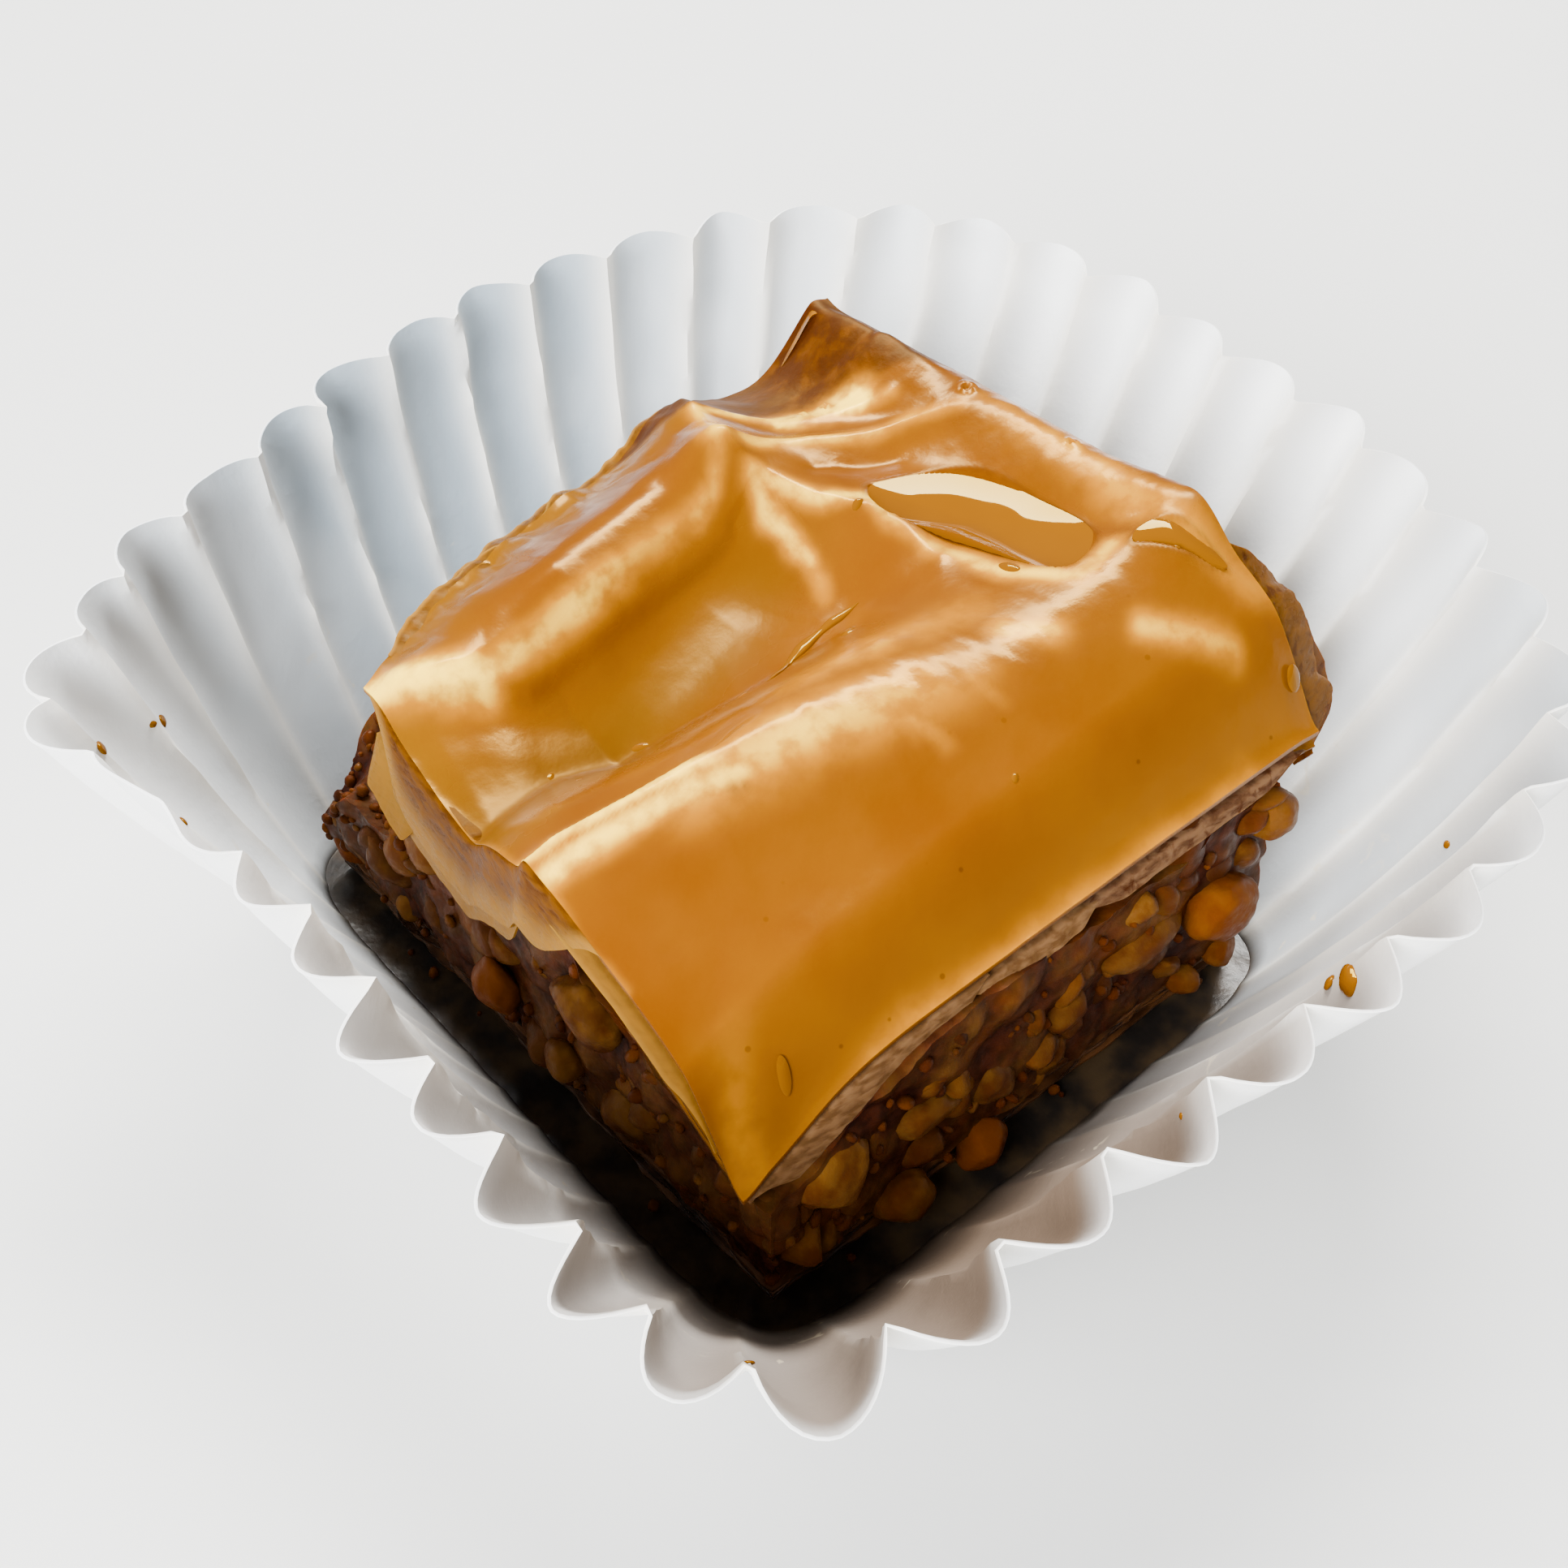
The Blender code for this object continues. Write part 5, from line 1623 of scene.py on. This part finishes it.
def build_named_nuts(finish):
    """The large walnut pieces that show at the cut sides."""
    rng = np.random.default_rng(7)
    shape = ball(4)
    bodies = []
    for _, place, radii, tone, orange, skin in NAMED_NUTS:
        place = np.array(place)
        place[:2] -= NAMED_NUT_SINK * place[:2] / np.abs(place[:2]).max()
        points, faces, cut = chunk(rng, shape, place, radii, lumps=0.24, turned=False)
        bodies.append(nut_body(points, faces, cut, tone, orange, skin))
    return make_nuts("walnut_pieces", bodies, finish)


def on_filling_side(rng, count):
    """Random places on the filling's sides, with the way out."""
    border = rectangle_border(FILLING_HALF, FILLING_STEPS)
    outward = level_normals(border, 3)
    which = rng.integers(0, len(border), count)
    bottom = BASE_BOTTOM + BASE_THICKNESS
    top = filling_height(border[which, 0], border[which, 1])
    places = border[which]
    places[:, 2] = bottom + (top - bottom) * rng.uniform(0.0, 0.97, count)
    out = np.maximum(SIDE_RELIEF * crumbly(places), -0.2)
    return places + outward[which] * out[:, None], outward[which]


def build_small_nuts(finish):
    """Chopped bits all round the cut sides."""
    rng = np.random.default_rng(11)
    shape = ball(3)
    places, outward = on_filling_side(rng, SMALL_NUTS)
    bodies = []
    for place, way in zip(places, outward):
        size = rng.uniform(*SMALL_NUT_SIZE)
        radii = size * rng.uniform(*SMALL_NUT_STRETCH, 3)
        points, faces, cut = chunk(rng, shape, place - SMALL_NUT_SINK * size * way, radii, lumps=0.3)
        tone = rng.choice((0.1, 0.3, 0.55, 0.85), p=(0.2, 0.25, 0.3, 0.25))
        bodies.append(nut_body(points, faces, cut, tone, rng.uniform(0.0, 0.3), rng.uniform(0.0, 0.8)))
    return make_nuts("walnut_bits", bodies, finish)


def build_crumbs(finish):
    """Crumbs between the bits, on the crumbled corner and round the foot of the piece."""
    rng = np.random.default_rng(13)
    shape = ball(2)
    places, outward = on_filling_side(rng, CRUMBS)
    places = places + outward * rng.uniform(*CRUMB_OUT, (CRUMBS, 1))
    slope = []
    for _ in range(SLOPE_CRUMBS):
        x = CRUMBLED_CORNER[0] + SLOPE_INSET + rng.uniform(0.0, SLOPE_REACH[0])
        slope.append((x, CRUMBLED_CORNER[1] - SLOPE_INSET - rng.uniform(0.0, SLOPE_REACH[1])))
    slope_x, slope_y = np.array(slope).T
    on_slope = plan_points(slope_x, slope_y, filling_height(slope_x, slope_y))
    foot = rectangle_border((FLOOR_HALF[0] - FALLEN_INSET, FLOOR_HALF[1] - FALLEN_INSET), FALLEN_STEPS)
    fallen = foot[rng.integers(0, len(foot), FALLEN_CRUMBS)]
    fallen = fallen * rng.uniform(0.93, 1.0, (FALLEN_CRUMBS, 1)) + (0.0, 0.0, PAPER_THICKNESS + FALLEN_LEVEL)
    bodies = []
    for place in np.concatenate([places, on_slope, fallen]):
        radii = rng.uniform(*CRUMB_SIZE) * rng.uniform(*CRUMB_STRETCH, 3)
        points, faces, cut = chunk(rng, shape, place, radii, lumps=0.25)
        tone = rng.choice((0.05, 0.2, 0.45, 0.7), p=(0.4, 0.3, 0.2, 0.1))
        bodies.append(nut_body(points, faces, cut, tone, rng.uniform(0.0, 0.6), 0.3))
    return make_nuts("walnut_crumbs", bodies, finish)


# ---- bottom pastry ------------------------------------------------------------------------
def build_base(finish):
    """Soaked sheets under the nuts, their edges uneven."""
    border = rectangle_border(BASE_HALF, BASE_STEPS)
    outward = level_normals(border, 3)
    total = BASE_SHEETS * ROWS_PER_SHEET
    shares = [ring / BASE_RINGS for ring in range(1, BASE_RINGS)]
    rows = [border * (share, share, 0.0) + (0.0, 0.0, BASE_BOTTOM) for share in shares]
    for row in range(total + 1):
        sheet, within = divmod(row, ROWS_PER_SHEET)
        place = border + (0.0, 0.0, BASE_BOTTOM + BASE_THICKNESS * row / total)
        in_sheet = plan_points(border[:, 0], border[:, 1], 7.0 * sheet)
        out = BASE_UNEVENNESS * ripples(in_sheet, BASE_UNEVEN_SIZE, seed=401)
        out = out - (BASE_GROOVE if within == 0 else 0.0)
        rows.append(place + outward * out[:, None])
    for share in reversed(shares):
        rows.append(border * (share, share, 0.0) + (0.0, 0.0, BASE_BOTTOM + BASE_THICKNESS))
    points, faces = closed_rows(rows)
    return make_piece("base_sheets", points, faces, {}, finish, "soaked_pastry", "bottom_pastry")


# ---- stage --------------------------------------------------------------------------------
def build_camera():
    camera_data = bpy.data.cameras.new("camera")
    camera_data.lens = FIELD_OF_VIEW_LENS
    camera_data.sensor_width = SENSOR
    camera = bpy.data.objects.new("camera", camera_data)
    bpy.context.scene.collection.objects.link(camera)
    place = (Vector(CAMERA_PLACE) + Vector(FOOD_SHIFT)) * MM
    aim = (Vector(CAMERA_AIM) + Vector(FOOD_SHIFT)) * MM
    camera.location = place
    camera.rotation_euler = (aim - place).to_track_quat("-Z", "Y").to_euler()
    camera_data.clip_start = 0.01
    bpy.context.scene.camera = camera


def build_floor(finish):
    mesh = bpy.data.meshes.new("floor")
    half = FLOOR_SIZE / 2.0
    corners = [(-half, -half, 0.0), (half, -half, 0.0), (half, half, 0.0), (-half, half, 0.0)]
    mesh.from_pydata(corners, [], [(0, 1, 2, 3)])
    mesh.materials.append(finish)
    floor = bpy.data.objects.new("floor", mesh)
    bpy.context.scene.collection.objects.link(floor)


def build_light(name, place, size, power, colour, mirrored):
    """A soft rectangular light that faces the piece."""
    data = bpy.data.lights.new(name, "AREA")
    data.shape = "RECTANGLE"
    data.size, data.size_y = size
    data.energy = power
    data.color = colour
    light = bpy.data.objects.new(name, data)
    bpy.context.scene.collection.objects.link(light)
    light.visible_glossy = mirrored
    light.location = place
    light.rotation_euler = (Vector(LIGHT_AIM) - Vector(place)).to_track_quat("-Z", "Y").to_euler()


def build_world():
    world = bpy.data.worlds.new("studio")
    world.use_nodes = True
    background = world.node_tree.nodes["Background"]
    background.inputs["Color"].default_value = (*WORLD_COLOUR, 1.0)
    background.inputs["Strength"].default_value = WORLD_STRENGTH
    bpy.context.scene.world = world


def main():
    build_camera()
    build_world()
    for light in LIGHTS:
        build_light(*light)
    build_floor(floor_finish())
    paper, paper_normals = build_paper_case(paper_finish())
    build_top_pastry(sheet_finish())
    build_leaves(leaf_finish())
    syrup = syrup_finish()
    build_pools(syrup)
    build_drops(syrup, paper, paper_normals)
    nuts = nut_finish()
    build_filling(nuts)
    build_named_nuts(nuts)
    build_small_nuts(nuts)
    build_crumbs(nuts)
    build_base(base_finish())


CASE_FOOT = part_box("top_pastry")[0] / MM
FOOD_SHIFT = np.array((CASE_FOOT.x - SHEET_CORNER["near"][0], CASE_FOOT.y - SHEET_CORNER["right"][1], 0.0))
main()
